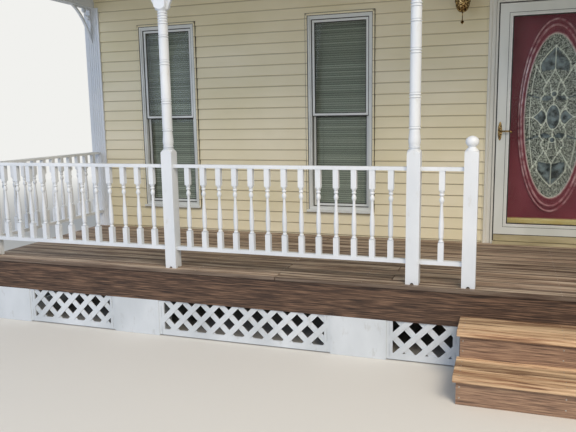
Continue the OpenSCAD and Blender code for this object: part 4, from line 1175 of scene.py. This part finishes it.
def oval_ring(shape, y, share, radius, flat=0.6):
    """A closed bar round the oval, from the glass's edge at share 0 to the moulding's at 1."""
    wide = half_w + share * (MOULDING_HALF_W - half_w)
    tall = half_h + share * (MOULDING_HALF_H - half_h)
    ring = ellipse_points(wide, tall, OVAL_STEPS, glass_mid.z)
    tube(shape, [Vector((x, y, z)) for x, z in ring], radius, True, OVAL_SIDES, flat)


def on_glass(point, out=0.0):
    """Where a point of the pattern, in millimetres, lies on the door."""
    return Vector((point[0] / 1000, FRONT - out, glass_mid.z + point[1] / 1000))


def inside(point):
    wide, tall = half_w - CLEAR_OF_BORDER, half_h - CLEAR_OF_BORDER
    return (point[0] / 1000 / wide) ** 2 + (point[1] / 1000 / tall) ** 2 < 1


def solder(shape, point):
    flat = Matrix.Diagonal((1, SOLDER_FLAT, 1, 1))
    place = Matrix.Translation(on_glass(point, SOLDER_OUT)) @ flat
    bmesh.ops.create_icosphere(shape, subdivisions=2, radius=SOLDER_R, matrix=place)


shape = bmesh.new()
for line in lines:
    kept = [on_glass(point, CAME_OUT) for point in line if inside(point)]
    if len(kept) > 1:
        tube(shape, kept, CAME_R)
oval_ring(shape, FRONT - CAME_OUT, BORDER_SHARE, BORDER_R)
rings = [(ellipse_points(*CENTRE_OVAL, 40), CAME_R)]
rings += [(ellipse_points(*JEWEL, 20, z), JEWEL_R) for z in (-JEWEL_Z, JEWEL_Z)]
for ring, radius in rings:
    tube(shape, [on_glass(point, CAME_OUT) for point in ring], radius, True)
dots = {(round(line[k][0]), round(line[k][1])) for line in lines for k in (0, -1)}
for dot in sorted(dots | {(0, -EYE_Z), (0, EYE_Z)}):
    if inside(dot):
        solder(shape, dot)
keep("oval_cames", shape, came_zinc, "entry_leaf", "clear_glass")

# %% [markdown]
# Bevelled panes
#
# Between the cames lie thick panes whose rims are ground to a slope, and the slopes catch the
# light as a pale line. A bump can't turn light at an edge like that, so each pane stands proud as
# a low solid with a sloping rim. The panes mirror as the cames do.


# %% Set the bevelled panes
# The rims' widths and the oval panes' half sizes are in millimetres on the glass.
RIM, JEWEL_RIM, SIDE_RIM, CENTRE_RIM = 5, 7, 10, 12
JEWEL_PANE, CENTRE_PANE, RISE = (21, 21), (50, 101), 0.004


def bevelled(shape, outline, rim=RIM):
    """A pane with a sloping rim; its outline on the glass and its rim are in millimetres."""
    points = [Vector(point) for point in outline]
    centre = sum(points, Vector((0, 0))) / len(points)
    inner = [point + (centre - point).normalized() * rim for point in points]
    wrap(shape, [[on_glass(p) for p in points], [on_glass(p, RISE) for p in inner]])


def leaf(start, end, bulge):
    """Outline of a pointed leaf between two points."""
    return arc_between(start, end, bulge)[:-1] + arc_between(end, start, bulge)[:-1]


bevel_quarter = [
    leaf((14, -166), (102, -152), 22),
    [(4, -404), (106, -384), (112, -456), (4, -588)],
    [(107, -167), (108, -155), (222, -190), (218, -203)],
]
side_pane = [(162, 0), (98, 62), (62, 20), (62, -20), (98, -62)]
shape = bmesh.new()
for side in (-1, 1):
    bevelled(shape, [(side * x, z) for x, z in side_pane], SIDE_RIM)
    for end in (-1, 1):
        for outline in bevel_quarter:
            bevelled(shape, [(side * x, end * z) for x, z in outline])
for z in (-JEWEL_Z, JEWEL_Z):
    bevelled(shape, ellipse_points(*JEWEL_PANE, 16, z), JEWEL_RIM)
bevelled(shape, ellipse_points(*CENTRE_PANE, 32), CENTRE_RIM)
keep("oval_bevels", shape, bevel_glass, "entry_leaf", "clear_glass")

# %% [markdown]
# The moulding in the CAD is a flat stepped ring. The pressed steel of the real door is rounded,
# and the rounding is what catches the light, so a bead with a round section is laid over each
# step, on both faces of the door; its paler pink is a painted highlight. A pale rose ring of the
# same section lies between the moulding and the glass, a painted highlight along the glass's edge.

# %% Round the moulding
GLASS_BEHIND_FRONT, GLASS_BEFORE_BACK = 0.016, 0.028
front_face, back_face = FRONT - GLASS_BEHIND_FRONT, FRONT + GLASS_BEFORE_BACK
# Each ring is its share from the glass to the moulding's edge, its height and its radius.
BEADS = [(0.02, 0.006, 0.005), (0.50, 0.014, 0.0085), (0.88, 0.012, 0.0065)]
GASKET_HIGHLIGHT = [(-0.04, 0.008, 0.0045)]
for name, finish, rings, flat in (
    ("oval_beads", bead_highlight_enamel, BEADS, 0.7),
    ("oval_gaskets", gasket_highlight_vinyl, GASKET_HIGHLIGHT, 0.8),
):
    shape = bmesh.new()
    for face, out in ((front_face, -1), (back_face, 1)):
        for share, height, radius in rings:
            oval_ring(shape, face + out * height, share, radius, flat)
    keep(name, shape, finish, "entry_leaf", "burgundy_enamel")
print("door faces at", round(front_face, 4), round(back_face, 4))

# %% [markdown]
# Kick plate and sweep
#
# A brass kick plate covers the foot of the entry door, and a beige sweep closes the gap below the
# storm door. Both are thin sheets with rounded edges. The sweep's two ribs, which stiffen it, are
# bars that stand 1 mm out, and each casts a small shadow of its own.

# %% Kick plate and sweep
PLATE_HALF_W, PLATE_LOW, PLATE_HIGH, PLATE_T = 0.430, 0.006, 0.190, 0.0012
METAL_EDGE = 0.0005
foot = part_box("entry_door")[0].z
shape = bmesh.new()
low = (-PLATE_HALF_W, front_face - PLATE_T, foot + PLATE_LOW)
bar(shape, low, (PLATE_HALF_W, front_face + HAIR, foot + PLATE_HIGH), METAL_EDGE)
keep("kick_plate", shape, plate_brass, "entry_leaf", "polished_brass")

SWEEP_H, SWEEP_IN, SWEEP_BACK = 0.055, 0.0012, 0.005
RIB, RIB_OUT, FOOT_RIB_H = (0.72 * SWEEP_H, 0.86 * SWEEP_H), 0.001, 0.008
STORM_PANE_IN = 0.013
storm_low, storm_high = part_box("storm_door")
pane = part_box("storm_glass")
pane_y = pane[0].y
storm_face = pane_y - STORM_PANE_IN
shape = bmesh.new()
for low_z, high_z, out in ((0, SWEEP_H, 0), (*RIB, RIB_OUT), (0, FOOT_RIB_H, RIB_OUT)):
    low = (storm_low.x, storm_face + SWEEP_IN - out, storm_low.z + low_z)
    high = (storm_high.x, storm_face + SWEEP_BACK, storm_low.z + high_z)
    bar(shape, low, high, METAL_EDGE)
keep("storm_sweep", shape, sill_enamel, "storm_leaf", "storm_enamel")

# %% [markdown]
# Seals, painted shade lines and bead of the storm door
#
# Rubber shows as dark lines: a weather strip in the joint beside the leaf, a seal round the pane,
# and the seams where the door's frame pieces meet. Their darkness is partly rubber and partly
# painted shade, standing for the shadow in the gap beside the leaf, round the pane and at the step
# of the frame. A white vinyl bead holds the pane, and its paler white is a painted highlight that
# draws a light line next to the dark one. All are strips of real width, set on the CAD's faces, so
# that they stay thin and straight from every side.

# %% Seals, painted shade lines and bead of the storm door
STRIP_W, STRIP_OUT, STRIP_GAP, STRIP_TOP_GAP, STRIP_SHORT = 0.009, 0.0015, 0.001, 0.0045, 0.02
y_front, y_back = head_low.y - STRIP_OUT, head_low.y - CLEAR
left, top = storm_low.x - STRIP_GAP, storm_high.z + STRIP_GAP + STRIP_W
shape = bmesh.new()
bar(shape, (left - STRIP_W, y_front, storm_low.z), (left, y_back, top))
low = (left, y_front, storm_high.z + STRIP_TOP_GAP)
bar(shape, low, (storm_high.x - STRIP_SHORT, y_back, top))
keep("storm_weather_strip", shape, rubber_and_painted_shade, "porch", "white_paint")

STORM_SEAL_W, STORM_SEAL_OUT = 0.010, 0.0045
shape = bmesh.new()
picture_frame(shape, pane, 0, STORM_SEAL_W, pane_y - STORM_SEAL_OUT, pane_y - CLEAR)
keep("storm_pane_seal", shape, rubber_and_painted_shade, "storm_leaf", "storm_enamel")

BAND_W, BAND_STEP, STILE_W = 0.074, 0.005, 0.103
SEAM_W, SEAM_OUT, LOW_SEAM_H, SEAM_END = 0.0035, 0.0008, 0.0055, 0.001
step_face = storm_face + BAND_STEP
shape = bmesh.new()
y_front, y_back = step_face - SEAM_OUT, step_face + HAIR
picture_frame(shape, pane, STILE_W - BAND_W, SEAM_W, y_front, y_back)
left, seam_z = storm_low.x + SEAM_END, storm_low.z + SWEEP_H
high = (-left, storm_face + SWEEP_IN, seam_z + LOW_SEAM_H)
bar(shape, (left, storm_face - CLEAR, seam_z), high)
keep("storm_seams", shape, rubber_and_painted_shade, "storm_leaf", "storm_enamel")

BEAD_W, BEAD_OUT = 0.007, 0.0012
bead_face = storm_face + BAND_STEP / 2
shape = bmesh.new()
y_front, y_back = bead_face - BEAD_OUT, bead_face + HAIR
picture_frame(shape, pane, BEAD_W, BEAD_W - 2 * HAIR, y_front, y_back)
keep("storm_glazing_bead", shape, bead_highlight_vinyl, "storm_leaf", "storm_enamel")
print("storm door face at", round(storm_face, 4))

# %% [markdown]
# Floor, sky and lights
#
# The porch stands on a plain pale floor, which turns to the white of the background far from it.
# The world is white for the camera and for reflections, and a soft, slightly blue glow for
# everything else, so the background is bright without more light on the porch. One large lamp high
# in the front right stands for the sun: the roof shades the wall from it as in the photograph, and
# the steps lie in its light. A weaker, bluer one fills the left.

# %% Floor
STUDIO_WHITE = "#f1f1ee"
FADE_START, FADE_END, FLOOR_SIZE, BELOW_PORCH = 8.0, 16.0, 60, 0.001
floor_material, tree, shader = new_material("studio_floor", "#dcdad4", Roughness=0.9)
spot = add(tree, "ShaderNodeTexCoord").outputs["Object"]
far = add(tree, VECTOR_MATH, [(0, spot)], operation="LENGTH").outputs["Value"]
fade = add(tree, "ShaderNodeMapRange", [(0, far), (1, FADE_START), (2, FADE_END)])
seen = add(tree, "ShaderNodeLightPath").outputs["Is Camera Ray"]
whiten = add(tree, MATH, [(0, fade), (1, seen)], operation="MULTIPLY")
backdrop = add(tree, "ShaderNodeEmission", [("Color", STUDIO_WHITE), ("Strength", 1.0)])
paling = add(tree, "ShaderNodeMixShader", [(0, whiten), (1, shader), (2, backdrop)])
connect(tree, paling, tree.nodes["Material Output"].inputs["Surface"])
shape = bmesh.new()
bmesh.ops.create_grid(shape, x_segments=1, y_segments=1, size=FLOOR_SIZE)
floor = link("studio_floor", to_mesh(shape, "studio_floor"))
floor.data.materials.append(floor_material)
floor.location.z = -BELOW_PORCH
floor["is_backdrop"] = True

# %% World and lamps
world = bpy.data.worlds.new("studio")
scene.world = world
world.use_nodes = True
tree = world.node_tree
tree.nodes.clear()
ray = add(tree, "ShaderNodeLightPath").outputs
seen = ray["Is Camera Ray"]
for kind in ("Is Glossy Ray", "Is Transmission Ray"):
    seen = add(tree, MATH, [(0, seen), (1, ray[kind])], operation="MAXIMUM")
glow = add(tree, "ShaderNodeBackground", [("Color", "#e3ecf7"), ("Strength", 0.5)])
white = add(tree, "ShaderNodeBackground", [("Color", STUDIO_WHITE), ("Strength", 1.0)])
blend = add(tree, "ShaderNodeMixShader", [(0, seen), (1, glow), (2, white)])
add(tree, "ShaderNodeOutputWorld", [(0, blend)])


def lamp(name, place, aim, size, power, colour):
    """A square lamp that looks from its place at the point aim."""
    data = bpy.data.lights.new(name, "AREA")
    data.size = size
    data.energy = power
    data.color = linear(colour)[:3]
    thing = link(name, data)
    thing.location = place
    thing.rotation_euler = (Vector(aim) - Vector(place)).to_track_quat("-Z", "Y").to_euler()


lamp("key", (4.6, -10.0, 9.8), (-0.6, -1.0, 0.8), 6.0, 1400, "#fff0dc")
lamp("fill", (-7.0, -9.0, 4.0), (0, 0, 1.2), 5.0, 220, "#cfdfff")

# %% Measure and finish
low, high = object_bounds()
print("visual box", [round(v, 3) for v in high - low])
